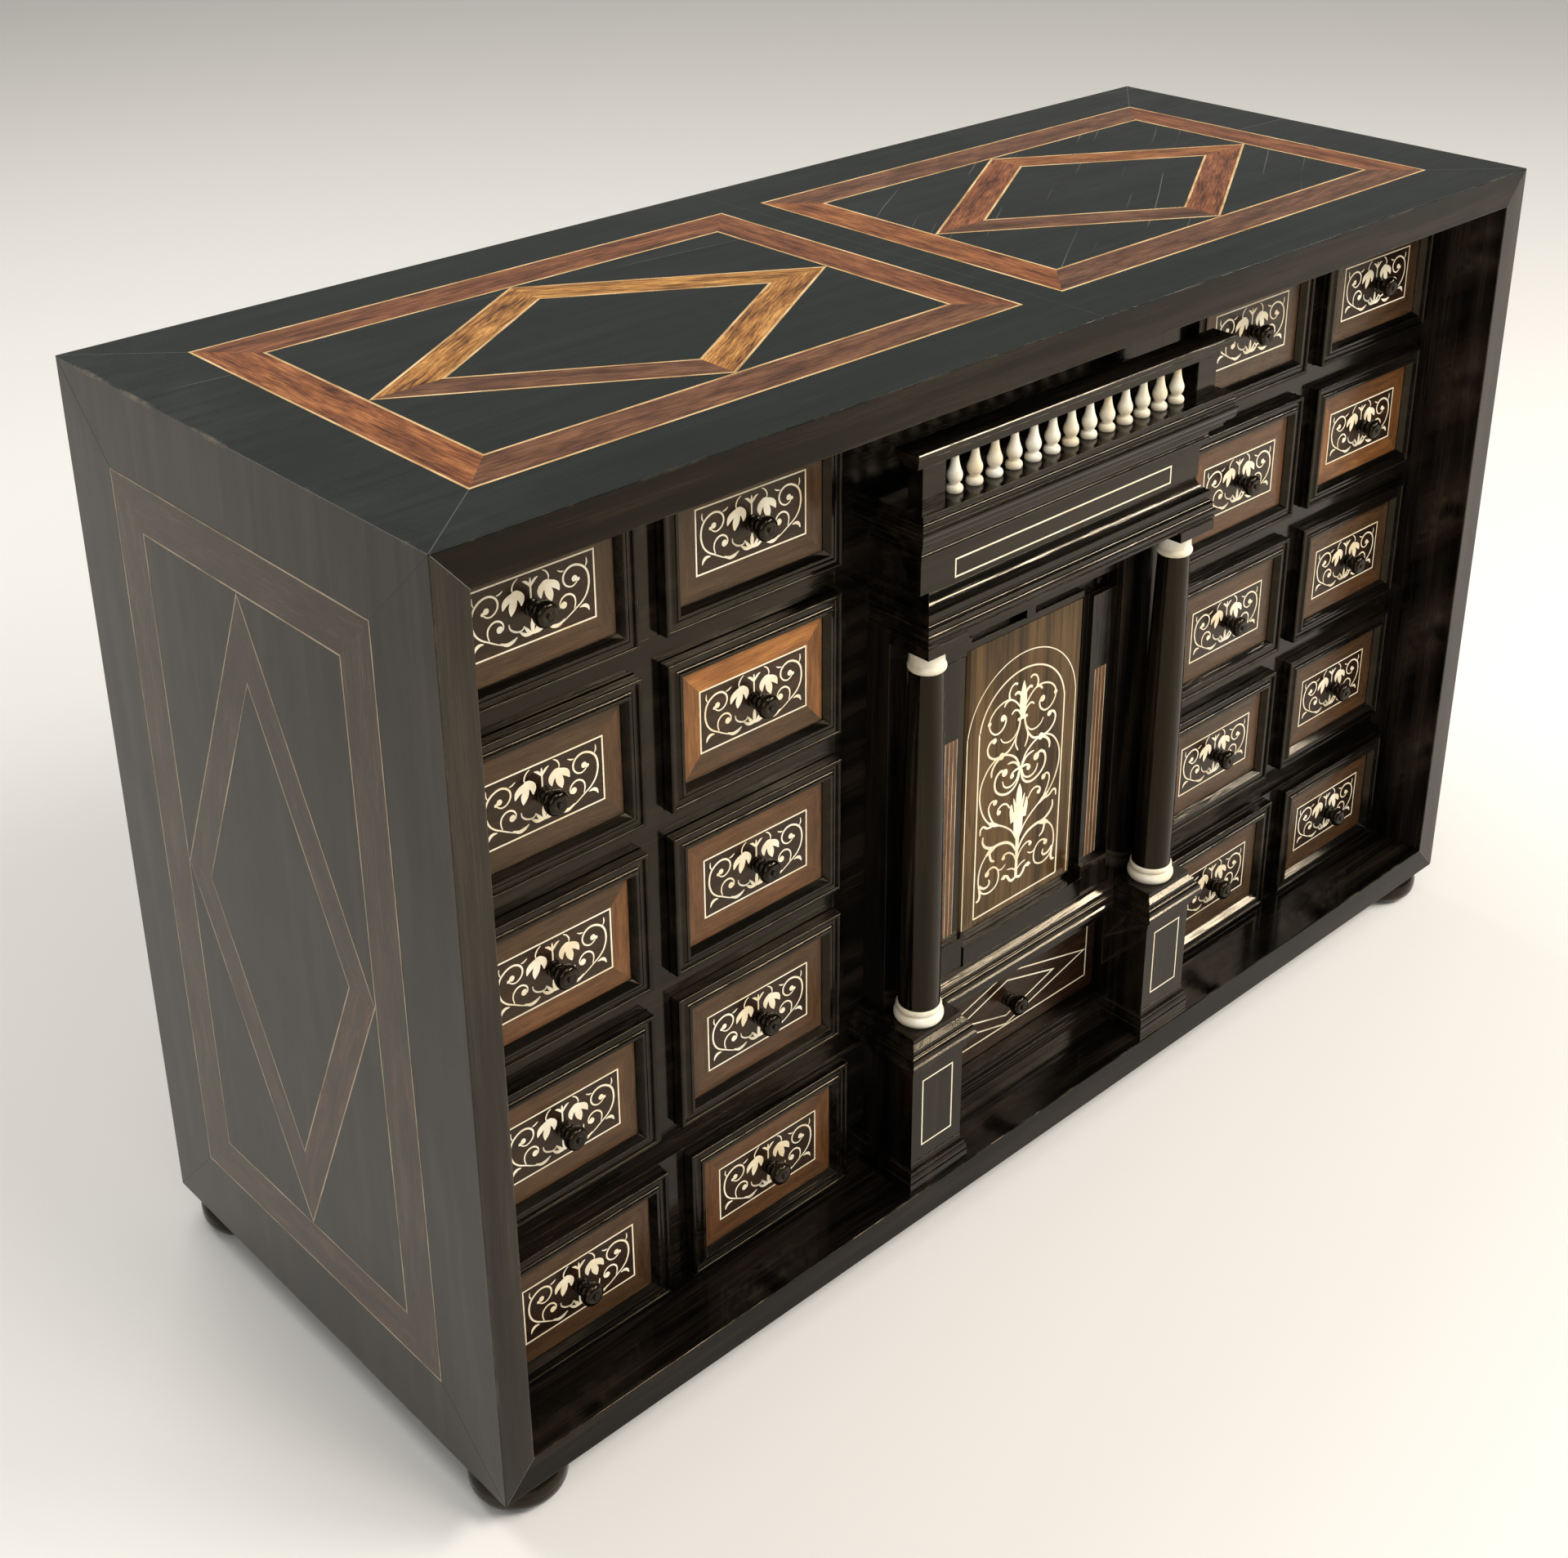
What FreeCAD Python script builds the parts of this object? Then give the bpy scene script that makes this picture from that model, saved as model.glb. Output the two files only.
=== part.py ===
import FreeCAD, Part
import os

# A table cabinet veneered in ebony: banks of drawers on either side of a small portico.
# +X is the viewer's right, -Y the front, +Z up; the origin is on the ground under the
# middle of the case. Inside the source a depth is counted back from the case's front edge,
# and a level up from the underside of the case; lay_depth and lift turn them into places.

# Case: outside size and boards
case_width = 900.0
case_depth = 347.0
case_height = 560.5
side_thickness = 20.5
top_thickness = 23.7
bottom_thickness = 21.6
back_thickness = 12.0

# Bun feet, each with a dowel glued up into the bottom board
foot_height = 23.0
foot_radius = 28.0
foot_inset = 28.5
foot_dowel_radius = 8.0
foot_dowel_length = 12.0
glue_gap = 0.05

# Facade: depth of the rails behind the case's front edge, and the drawer grid between them
rail_depth = 55.5
rail_thickness = 8.0
rail_height = 15.5
top_rail_height = 5.7
stile_width = 16.5
inner_stile_width = 26.2
end_stile_width = 5.5
bottom_row_step = 7.0
ledge_thickness = 2.0
rows = 5

# Drawer fronts: board, moulded frame and turned knob
front_thickness = 12.0
front_gap = 0.5
panel_proud = 3.0
frame_width = 12.0
frame_height = 4.8
knob_length = 15.5
knob_radius = 7.0
knob_dowel_radius = 2.0
knob_dowel_cover = 3.0

# Drawer boxes and the carcass that carries them
box_side = 7.0
box_back = 7.0
box_bottom = 5.0
box_side_gap = 0.5
box_floor_gap = 0.3
box_headroom = 7.0
box_end_gap = 20.5
guide_height = 10.0
partition_thickness = 9.0

# Portico in plan: how far each face stands before the rails or before the door's jambs
jamb_proud = 9.2
pier_proud = 8.6
pilaster_proud = 4.0
base_block_proud = 7.3
capital_block_proud = 6.8
lintel_proud = 3.3
recess_step = 3.7
sill_proud = 9.5
step_proud = 8.3
plinth_panel_proud = 6.3

# Portico from side to side
pedestal_centre = 112.5
pedestal_half_width = 22.0
pedestal_reach = 17.2
pier_outer_reach = 15.8
pier_inner_reach = 31.0
door_width = 106.0
block_reveal = 2.6
pilaster_reveal = 4.4
pilaster_margin = 0.7

# Portico levels
base_moulding_height = 19.9
base_projection = 3.5
cap_drop = 3.1
cap_height = 26.0
cap_projection = 6.0
step_height = 14.0
threshold_height = 17.0
base_block_height = 23.0
base_block_cap_height = 4.0
base_block_cap_step = 1.2
lintel_height = 30.5
recess_height = 12.0
capital_block_height = 8.0
capital_block_over_lintel = 2.0
stop_block_height = 6.0
stop_block_width = 8.0
lost_block_dowel_radius = 2.2
lost_block_dowel_length = 2.5

# Columns: bone base ring, black shaft, bone capital
column_gap = 1.2
ring_height = 11.0
ring_radius = 15.4
shaft_foot_radius = 13.0
shaft_neck_radius = 10.2
capital_height = 16.0
capital_radius = 11.5
impost_height = 6.5
impost_half_width = 16.5
tenon_radius = 6.0
tenon_length = 6.0

# Entablature, counted from its frieze
frieze_reach = 4.9
frieze_overhang = 11.8
entablature_height = 83.0
entablature_projection = 15.5
architrave_height = 27.8
architrave_inset = 5.0
architrave_shift = 1.7

# Balustrade on the entablature
baluster_count = 13
baluster_pitch = 16.3
baluster_height = 23.5
baluster_radius = 5.0
baluster_setback = 1.4
handrail_height = 12.0
handrail_depth = 18.0
handrail_reach = 12.0
handrail_overhang = 14.7
handrail_projection = 6.6
handrail_headroom = 22.8
post_width = 17.9
post_depth = 11.0
post_overhang = 4.5

# Door, its pins and the niche behind it
door_gap = 1.4
door_foot_gap = 0.5
door_head_gap = 0.5
door_thickness = 10.0
pin_inset = 3.5
pin_radius = 1.5
pin_length = 5.0
pin_clearance = 0.08
niche_board = 9.0
niche_widening = 4.4
niche_end_gap = 52.5
niche_floor_drop = 0.3

# Drawer in the plinth, between the pedestals
plinth_front_gap = 0.5

# One overrun for every cut that has to pass right through
overrun = 1.0

# Outlines as shares of the width and height that follow them.
# A pair is a corner, four values are an arc through the first point to the second.
frame_shares = [(0, 0), (0, 0.72), (0.11, 0.94, 0.22, 0.72), (0.22, 0.56), (0.3, 0.56),
                (0.5, 0.62, 0.62, 0.96), (0.76, 0.96), (1, 0.16), (1, 0)]
foot_shares = [(0, 0), (0.6, 0), (0.9, 0.16, 1, 0.52), (0.93, 0.84, 0.72, 1), (0, 1)]
knob_shares = [(0, 0), (0.66, 0), (0.66, 0.1), (0.42, 0.16), (0.42, 0.22), (0.7, 0.27, 0.42, 0.34),
               (0.4, 0.46), (0.86, 0.54, 1, 0.7), (0.86, 0.88, 0.36, 0.93), (0.24, 0.93),
               (0.21, 0.985, 0.1, 1), (0, 1)]
ring_shares = [(0.94, 0), (1, 0.3, 0.88, 0.6), (0.86, 0.64), (0.92, 0.82, 0.86, 1)]
capital_shares = [(0.9, 0), (1, 0.12, 0.95, 0.26), (0.92, 0.3), (0.9, 0.62, 0.98, 1)]
baluster_shares = [(0, 0), (0.9, 0), (1, 0.07, 0.88, 0.15), (0.62, 0.19), (0.62, 0.24),
                   (0.9, 0.38, 0.76, 0.54), (0.5, 0.74, 0.42, 1), (0, 1)]
base_moulding_shares = [(1, 0), (1, 0.34), (0.82, 0.38), (0.86, 0.5, 0.6, 0.62), (0.6, 0.7),
                        (0.2, 0.8, 0.1, 1)]
cap_shares = [(0, 0), (0.3, 0.02), (0.3, 0.1), (0.46, 0.22, 0.86, 0.28), (1, 0.32), (1, 0.44),
              (0.8, 0.48), (0.74, 0.6, 0.46, 0.66), (0.34, 0.7), (0.34, 0.78), (-0.16, 0.88),
              (-0.16, 1)]
architrave_shares = [(0.66, 0), (0.66, 0.06), (0.6, 0.07), (0.6, 0.1), (0.63, 0.108),
                     (0.69, 0.185, 0.62, 0.265), (0.58, 0.28), (0.58, 0.345), (0.62, 0.352),
                     (0.62, 0.382), (0.58, 0.39), (0.49, 0.42, 0.455, 0.515), (0.485, 0.525),
                     (0.485, 0.665), (0.46, 0.675), (0.2, 0.78, 0.03, 0.975), (0, 0.985), (0, 1)]
cornice_shares = [(0, 0), (0, 0.339), (0.05, 0.339), (0.05, 0.372), (0.1, 0.38), (0.1, 0.413),
                  (0.15, 0.42), (0.25, 0.457, 0.17, 0.49), (0.2, 0.495), (0.28, 0.556, 0.56, 0.59),
                  (0.6, 0.597), (0.6, 0.634), (0.65, 0.64), (0.65, 0.667), (0.86, 0.69, 0.94, 0.766),
                  (0.97, 0.785), (1, 0.815, 0.97, 0.845), (0.9, 0.852), (0.88, 0.882),
                  (0.925, 0.909, 0.88, 0.936), (0.81, 0.942), (0.8, 1)]
handrail_shares = [(0, 0), (0, 0.2), (0.12, 0.22), (0.26, 0.4, 0.6, 0.46), (0.72, 0.48), (0.72, 0.62),
                   (0.9, 0.66), (1, 0.72), (1, 0.94), (0.92, 1)]
# where the shaft's swelling is taken, and how much of the taper is left there
swelling_height_share = 0.45
swelling_taper_share = 0.81

# Case and drawer grid that follow from the sizes above
half_width = case_width / 2
inner_half_width = half_width - side_thickness
inside_top = case_height - top_thickness
inside_back = case_depth - back_thickness
rail_back = rail_depth + rail_thickness
pier_outer = pedestal_centre + pier_outer_reach
inner_opening = pier_outer + inner_stile_width
opening_width = (inner_half_width - end_stile_width - stile_width - inner_opening) / 2
outer_opening = inner_opening + opening_width + stile_width
front_width = opening_width - 2 * front_gap
rails_height = top_rail_height + (rows - 1) * rail_height
opening_height = (inside_top - bottom_thickness - rails_height) / rows
front_height = opening_height - 2 * front_gap
row_pitch = opening_height + rail_height
base_row_top = bottom_thickness + opening_height
panel_depth = rail_depth - panel_proud
box_end = inside_back - box_end_gap
drawer_columns = {
    "left_outer": -outer_opening - opening_width / 2,
    "left_inner": -inner_opening - opening_width / 2,
    "right_inner": inner_opening + opening_width / 2,
    "right_outer": outer_opening + opening_width / 2,
}

# Portico that follows from them, from the door outwards
jamb_depth = rail_depth - jamb_proud
pier_depth = jamb_depth - pier_proud
column_depth = pier_depth - column_gap - shaft_foot_radius
pedestal_depth = column_depth - pedestal_reach
pedestal_inner = pedestal_centre - pedestal_half_width
pedestal_outer = pedestal_centre + pedestal_half_width
pier_inner = pedestal_centre - pier_inner_reach
door_half_width = door_width / 2
jamb_inner = door_half_width + door_gap
pilaster_inner = jamb_inner + pilaster_reveal
pilaster_outer = pier_inner - pilaster_margin
block_inner = jamb_inner + block_reveal
frieze_depth = column_depth - frieze_reach
frieze_half_width = pedestal_centre + frieze_overhang
recess_depth = jamb_depth + recess_step
lintel_depth = jamb_depth - lintel_proud

# Its levels, from the ground up; the shafts take what is left under the handrail
cap_bottom = base_row_top - cap_drop
cap_top = cap_bottom + cap_height
shaft_foot = cap_top + ring_height
rail_foot = inside_top - handrail_headroom - handrail_height
platform = rail_foot - baluster_height
soffit = platform - entablature_height
shaft_top = soffit - impost_height - capital_height
shaft_height = shaft_top - shaft_foot
lintel_foot = soffit - lintel_height
jamb_top = lintel_foot - recess_height
door_foot = cap_top + threshold_height + door_foot_gap
door_top = jamb_top - door_head_gap
door_height = door_top - door_foot
door_back = jamb_depth + door_thickness
pin_x = -door_half_width + pin_inset
pin_depth = jamb_depth + pin_inset


def lay_depth(depth):
    return depth - case_depth / 2


def lift(level):
    return level + foot_height


def block(x_range, depth_range, level_range):
    x0, x1 = x_range
    d0, d1 = depth_range
    z0, z1 = level_range
    corner = FreeCAD.Vector(x0, lay_depth(d0), lift(z0))
    return Part.makeBox(x1 - x0, d1 - d0, z1 - z0, corner)


def scaled(shares, width, height):
    sizes = (width, height)
    return [tuple(share * sizes[i % 2] for i, share in enumerate(step)) for step in shares]


def outline_face(steps, place):
    # place turns a pair of the outline's own coordinates into a point
    edges = []
    start = steps[0]
    for step in steps[1:] + [steps[0]]:
        end = step[-2:]
        if len(step) == 4:
            edges.append(Part.Arc(place(*start), place(*step[:2]), place(*end)).toShape())
        else:
            edges.append(Part.LineSegment(place(*start), place(*end)).toShape())
        start = end
    return Part.Face(Part.Wire(edges))


def turned(steps, x, depth, level):
    # a piece turned about an upright axis, from pairs of radius and height
    face = outline_face(steps, lambda r, h: FreeCAD.Vector(x + r, lay_depth(depth), lift(level + h)))
    return face.revolve(FreeCAD.Vector(x, lay_depth(depth), 0), FreeCAD.Vector(0, 0, 1), 360)


def dowel(x, depth, level, radius, length):
    return Part.makeCylinder(radius, length, FreeCAD.Vector(x, lay_depth(depth), lift(level)))


def mirrored(shape):
    return shape.mirror(FreeCAD.Vector(0, 0, 0), FreeCAD.Vector(1, 0, 0))


def both_sides(solids):
    return solids + [mirrored(solid) for solid in solids]


def save(name, solids):
    Part.makeCompound(solids).exportStep("parts/" + name + ".step")


def case_board(corners):
    # a board whose ends are mitred in the front view, from pairs of x and level
    face = outline_face(corners, lambda x, z: FreeCAD.Vector(x, lay_depth(0), lift(z)))
    return face.extrude(FreeCAD.Vector(0, case_depth, 0))


def left_side():
    return case_board([(-half_width, 0), (-inner_half_width, bottom_thickness),
                       (-inner_half_width, inside_top), (-half_width, case_height)])


def top_board():
    return case_board([(-half_width, case_height), (-inner_half_width, inside_top),
                       (inner_half_width, inside_top), (half_width, case_height)])


def foot_places():
    along = half_width - foot_inset
    return [(x, depth) for x in (-along, along) for depth in (foot_inset, case_depth - foot_inset)]


def bottom_board():
    board = case_board([(-half_width, 0), (half_width, 0), (inner_half_width, bottom_thickness),
                        (-inner_half_width, bottom_thickness)])
    for x, depth in foot_places():
        hole = dowel(x, depth, -overrun, foot_dowel_radius + glue_gap, foot_dowel_length + overrun)
        board = board.cut(hole)
    return board


def bun_feet():
    steps = scaled(foot_shares, foot_radius, foot_height)
    feet = []
    for x, depth in foot_places():
        pin = dowel(x, depth, -overrun, foot_dowel_radius, foot_dowel_length + overrun - glue_gap)
        feet.append(turned(steps, x, depth, -foot_height).fuse(pin))
    return feet


def back_panel():
    return block((-inner_half_width, inner_half_width), (inside_back, case_depth),
                 (bottom_thickness, inside_top))


def row_foot(row):
    # level of the floor under a row of drawers; row 1 is the top one
    return bottom_thickness + (rows - row) * row_pitch


def inner_partitions():
    # uprights and dustboards of the carcass behind the rails, seen as one bank and mirrored
    depths = (rail_back, inside_back)
    levels = (bottom_thickness, inside_top)
    inner_edge = inner_opening
    middle_edge = inner_opening + opening_width
    pieces = [block((inner_edge - partition_thickness, inner_edge), depths, levels),
              block((middle_edge, outer_opening), depths, levels)]
    bays = [(inner_edge, middle_edge), (outer_opening, inner_half_width)]
    guide = (inner_half_width - end_stile_width, inner_half_width)
    for row in range(1, rows + 1):
        floor = row_foot(row)
        if row < rows:
            for bay in bays:
                pieces.append(block(bay, depths, (floor - partition_thickness, floor)))
        pieces.append(block(guide, depths, (floor, floor + guide_height)))
    return both_sides(pieces) + plinth_carcass()


def plinth_carcass():
    # floor and guides of the plinth drawer, and the deck that the portico stands on
    behind = (rail_depth, inside_back)
    floor = bottom_thickness + base_moulding_height
    deck = cap_top - partition_thickness
    wall = (pedestal_inner, pedestal_inner + partition_thickness)
    edge = inner_opening - partition_thickness
    return both_sides([block(wall, behind, (bottom_thickness, deck))]) + [
        block((-pedestal_inner, pedestal_inner), behind, (floor - partition_thickness, floor)),
        block((-pier_outer, pier_outer), (rail_depth, rail_back), (deck, cap_top)),
        block((-edge, edge), (rail_back, inside_back), (deck, cap_top))]


def bank_rails():
    # rails and stiles round the drawers of the right-hand bank
    face = (rail_depth, rail_back)
    middle = (inner_opening + opening_width, outer_opening)
    end = (inner_half_width - end_stile_width, inner_half_width)
    inner = (pier_outer, inner_opening)
    run = (inner_opening, inner_half_width)
    strips = [block(inner, face, (base_row_top, inside_top))]
    for row in range(1, rows):
        foot = row_foot(row)
        strips.append(block(run, face, (foot - rail_height, foot)))
        strips += [block(stile, face, (foot, foot + opening_height)) for stile in (middle, end)]
    strips.append(block(run, face, (row_foot(1) + opening_height, inside_top)))
    return strips


def bottom_row_rails():
    # the bottom row stands forward of the rows above, under a thin ledge
    face = (rail_depth - bottom_row_step, rail_back)
    middle = (inner_opening + opening_width, outer_opening)
    end = (inner_half_width - end_stile_width, inner_half_width)
    inner = (pedestal_outer, inner_opening)
    levels = (bottom_thickness, base_row_top)
    strips = [block(stile, face, levels) for stile in (inner, middle, end)]
    ledge_face = (rail_depth - bottom_row_step, rail_depth)
    strips.append(block((pedestal_outer, inner_half_width), ledge_face,
                        (base_row_top, base_row_top + ledge_thickness)))
    return strips


def facade_rails():
    attic = block((-pier_outer, pier_outer), (rail_depth, rail_back), (soffit, inside_top))
    return both_sides(bank_rails() + bottom_row_rails()) + [attic]


def frame_strip(run, reach):
    # one mitred side of a drawer's frame, lying below the middle of the panel
    steps = scaled(frame_shares, frame_width, frame_height)
    face = outline_face(steps, lambda w, h: FreeCAD.Vector(-run / 2, -h, w - reach))
    strip = face.extrude(FreeCAD.Vector(run, 0, 0))
    inside = run / 2 - frame_width
    corners = [(-run / 2, 0), (run / 2, 0), (inside, frame_width), (-inside, frame_width)]
    mitre = outline_face(corners, lambda x, w: FreeCAD.Vector(x, -frame_height, w - reach))
    return strip.common(mitre.extrude(FreeCAD.Vector(0, frame_height, 0)))


def frame_strips():
    strips = []
    for side in range(4):
        run, reach = (front_width, front_height / 2) if side % 2 == 0 else (front_height, front_width / 2)
        strip = frame_strip(run, reach)
        strip.rotate(FreeCAD.Vector(0, 0, 0), FreeCAD.Vector(0, 1, 0), 360 / 4 * side)
        strips.append(strip)
    return strips


def knob():
    # turned along the depth, its dowel running back into the drawer's front
    steps = scaled(knob_shares, knob_radius, knob_length)
    face = outline_face(steps, lambda r, h: FreeCAD.Vector(r, -h, 0))
    head = face.revolve(FreeCAD.Vector(0, 0, 0), FreeCAD.Vector(0, 1, 0), 360)
    pin = Part.makeCylinder(knob_dowel_radius, front_thickness - knob_dowel_cover + overrun,
                            FreeCAD.Vector(0, -overrun, 0), FreeCAD.Vector(0, 1, 0))
    return head.fuse(pin)


def front_board(width, height):
    # the panel's face is at depth 0, centred on the knob
    board = Part.makeBox(width, front_thickness, height, FreeCAD.Vector(-width / 2, 0, -height / 2))
    length = front_thickness - knob_dowel_cover + glue_gap
    hole = Part.makeCylinder(knob_dowel_radius + glue_gap, length + overrun,
                             FreeCAD.Vector(0, -overrun, 0), FreeCAD.Vector(0, 1, 0))
    return board.cut(hole)


def placed(solids, x, depth, level):
    # copies of solids that were made about the middle of a front
    shift = FreeCAD.Vector(x, lay_depth(depth), lift(level))
    return [solid.translated(shift) for solid in solids]


def drawer_box(x, front_back, floor, width, height):
    # two sides, a back and a bottom board between them, behind a front
    half = width / 2
    foot = floor + box_floor_gap
    depths = (front_back, box_end)
    between = (x - half + box_side, x + half - box_side)
    return [block((x - half, x - half + box_side), depths, (foot, foot + height)),
            block((x + half - box_side, x + half), depths, (foot, foot + height)),
            block(between, (depths[1] - box_back, depths[1]), (foot, foot + height)),
            block(between, (depths[0], depths[1] - box_back), (foot, foot + box_bottom))]


def save_drawers():
    front = [front_board(front_width, front_height)] + frame_strips() + [knob()]
    width = opening_width - 2 * box_side_gap
    height = opening_height - box_headroom
    for name, x in drawer_columns.items():
        for row in range(1, rows + 1):
            forward = bottom_row_step if row == rows else 0
            depth = panel_depth - forward
            floor = row_foot(row)
            tag = name + "_" + str(row)
            middle = floor + front_gap + front_height / 2
            save("drawer_front_" + tag, placed(front, x, depth, middle))
            save("drawer_box_" + tag,
                 drawer_box(x, depth + front_thickness, floor, width, height))


def save_plinth_drawer():
    floor = bottom_thickness + base_moulding_height
    width = 2 * (pedestal_inner - plinth_front_gap)
    height = cap_bottom - floor - 2 * plinth_front_gap
    middle = floor + plinth_front_gap + height / 2
    depth = rail_depth - plinth_panel_proud
    front = [front_board(width, height), knob()]
    save("plinth_drawer_front", placed(front, 0, depth, middle))
    save("plinth_drawer_box",
         drawer_box(0, depth + front_thickness, floor, width - 2 * box_side_gap, height - box_headroom))


def wrapped(steps, half, depth, level, back):
    # a body with the same moulding on its front and both its sides, mitred at the corners:
    # steps give how far it stands out beyond the half width and the depth, and how high
    top = steps[-1][-1]
    reach = 2 * (half + back)
    closing = [(-reach, top), (-reach, 0)]
    side = outline_face(steps + closing,
                        lambda p, h: FreeCAD.Vector(half + p, lay_depth(0), lift(level + h)))
    side = side.extrude(FreeCAD.Vector(0, back, 0))
    side = side.common(mirrored(side))
    closing = [(depth - back, top), (depth - back, 0)]
    front = outline_face(steps + closing,
                         lambda p, h: FreeCAD.Vector(-reach / 2, lay_depth(depth - p), lift(level + h)))
    return side.common(front.extrude(FreeCAD.Vector(reach, 0, 0)))


def base_steps():
    return scaled(base_moulding_shares, base_projection, base_moulding_height)


def cap_steps():
    return scaled(cap_shares, cap_projection, cap_height)


def pedestal():
    # base moulding, plain die and moulded cap under the right-hand column, as one block
    die_height = cap_bottom - bottom_thickness - base_moulding_height
    die_foot = base_moulding_height
    cap = [tuple(v + (cap_bottom - bottom_thickness) * (i % 2) for i, v in enumerate(step))
           for step in cap_steps()]
    steps = base_steps() + [(0, die_foot), (0, die_foot + die_height)] + cap[1:]
    body = wrapped(steps, pedestal_half_width, pedestal_depth, bottom_thickness, rail_depth)
    body = body.translated(FreeCAD.Vector(pedestal_centre, 0, 0))
    notch = block((pedestal_outer, inner_opening), (rail_depth - bottom_row_step, rail_back),
                  (0, base_row_top + ledge_thickness))
    return body.cut(notch)


def plinth_moulding(steps, depth, level):
    # a length of moulding between the pedestals, cut to their faces
    top = steps[-1][-1]
    closing = [(depth - rail_depth, top), (depth - rail_depth, 0)]
    face = outline_face(steps + closing,
                        lambda p, h: FreeCAD.Vector(-pedestal_centre, lay_depth(depth - p),
                                                    lift(level + h)))
    strip = face.extrude(FreeCAD.Vector(2 * pedestal_centre, 0, 0))
    return strip.cut(both_sides([pedestal()]))


def plinth_mouldings():
    # base moulding under the plinth drawer, sill over it, and the step before the door
    sill_depth = jamb_depth - sill_proud
    step = block((-block_inner, block_inner), (jamb_depth - step_proud, jamb_depth),
                 (cap_top, cap_top + step_height))
    return [plinth_moulding(base_steps(), sill_depth + base_projection, bottom_thickness),
            plinth_moulding(cap_steps(), sill_depth, cap_bottom), step]


def tenon_hole(level, length):
    return dowel(pedestal_centre, column_depth, level, tenon_radius + glue_gap, length)


def column_shaft():
    # its taper swells slightly, and a tenon at each end goes into the bone
    swelling = shaft_neck_radius + swelling_taper_share * (shaft_foot_radius - shaft_neck_radius)
    steps = [(0, 0), (shaft_foot_radius, 0),
             (swelling, swelling_height_share * shaft_height, shaft_neck_radius, shaft_height),
             (0, shaft_height)]
    shaft = turned(steps, pedestal_centre, column_depth, shaft_foot)
    low = dowel(pedestal_centre, column_depth, shaft_foot - tenon_length, tenon_radius,
                tenon_length + overrun)
    high = dowel(pedestal_centre, column_depth, shaft_top - overrun, tenon_radius,
                 tenon_length + overrun)
    return shaft.fuse([low, high])


def base_ring():
    # bone ring under the shaft, filed flat behind where it meets the pier
    steps = [(0, 0)] + scaled(ring_shares, ring_radius, ring_height) + [(0, ring_height)]
    ring = turned(steps, pedestal_centre, column_depth, cap_top)
    depth = tenon_length + glue_gap
    return ring.cut([tenon_hole(shaft_foot - depth, depth + overrun), pier()])


def capital():
    steps = [(0, 0)] + scaled(capital_shares, capital_radius, capital_height) + [(0, capital_height)]
    ring = turned(steps, pedestal_centre, column_depth, shaft_top)
    return ring.cut(tenon_hole(shaft_top - overrun, tenon_length + glue_gap + overrun))


def pier():
    return block((pier_inner, pier_outer), (pier_depth, rail_back), (cap_top, soffit))


def jamb():
    return block((jamb_inner, pier_inner), (jamb_depth, rail_back), (cap_top, jamb_top))


def pilaster():
    return block((pilaster_inner, pilaster_outer), (jamb_depth - pilaster_proud, jamb_depth),
                 (cap_top + base_block_height, jamb_top))


def base_block():
    # small pedestal under the fluted pilaster, with a cap that stands out a little
    front = jamb_depth - base_block_proud
    shoulder = cap_top + base_block_height - base_block_cap_height
    die = block((block_inner, pier_inner), (front, jamb_depth), (cap_top, shoulder))
    cap = block((block_inner - base_block_cap_step, pier_inner), (front - base_block_cap_step, jamb_depth),
                (shoulder, cap_top + base_block_height))
    return die.fuse(cap)


def capital_block():
    # over the left pilaster only: neck and block
    x_range = (-pier_inner, -block_inner)
    top = lintel_foot + capital_block_over_lintel
    neck = block(x_range, (lintel_depth, recess_depth), (jamb_top, lintel_foot))
    head = block(x_range, (jamb_depth - capital_block_proud, lintel_depth),
                 (top - capital_block_height, top))
    return neck.fuse(head)


def lost_block_dowel():
    # what is left of the block over the right pilaster
    level = lintel_foot + capital_block_over_lintel - capital_block_height
    start = FreeCAD.Vector((pilaster_inner + pilaster_outer) / 2,
                           lay_depth(recess_depth - lost_block_dowel_length), lift(level))
    return Part.makeCylinder(lost_block_dowel_radius, lost_block_dowel_length, start,
                             FreeCAD.Vector(0, 1, 0))


def lintel():
    # the board over the door, with the recess and its small stop block, bored for the pin
    run = (-pier_inner, pier_inner)
    board = block(run, (lintel_depth, rail_back), (lintel_foot, soffit))
    recess = block(run, (recess_depth, rail_back), (jamb_top, lintel_foot))
    shelf = block((-jamb_inner, jamb_inner), (jamb_depth, recess_depth),
                  (jamb_top, jamb_top + pin_length - door_head_gap))
    half = stop_block_width / 2
    stop = block((-half, half), (lintel_depth, recess_depth), (lintel_foot - stop_block_height, lintel_foot))
    return board.fuse([recess, shelf, stop]).cut(pin_hole(jamb_top - overrun, pin_length + overrun))


def portico_frame():
    pieces = both_sides([pier(), jamb(), pilaster(), base_block()])
    return pieces + [capital_block(), lost_block_dowel(), lintel(), threshold()]


def impost():
    # block over the right-hand capital, running back to the pier
    front = column_depth - impost_half_width
    return block((pedestal_centre - impost_half_width, pedestal_centre + impost_half_width),
                 (front, pier_depth), (shaft_top + capital_height, soffit))


def entablature():
    # imposts, architrave, then frieze and cornice in one; the architrave sits a little to the right
    steps = scaled(architrave_shares, entablature_projection, architrave_height)
    architrave = wrapped(steps, frieze_half_width - architrave_inset, frieze_depth, soffit, rail_depth)
    architrave = architrave.translated(FreeCAD.Vector(architrave_shift, 0, 0))
    steps = scaled(cornice_shares, entablature_projection, entablature_height - architrave_height)
    cornice = wrapped(steps, frieze_half_width, frieze_depth, soffit + architrave_height, rail_depth)
    return both_sides([impost()]) + [architrave, cornice]


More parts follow.
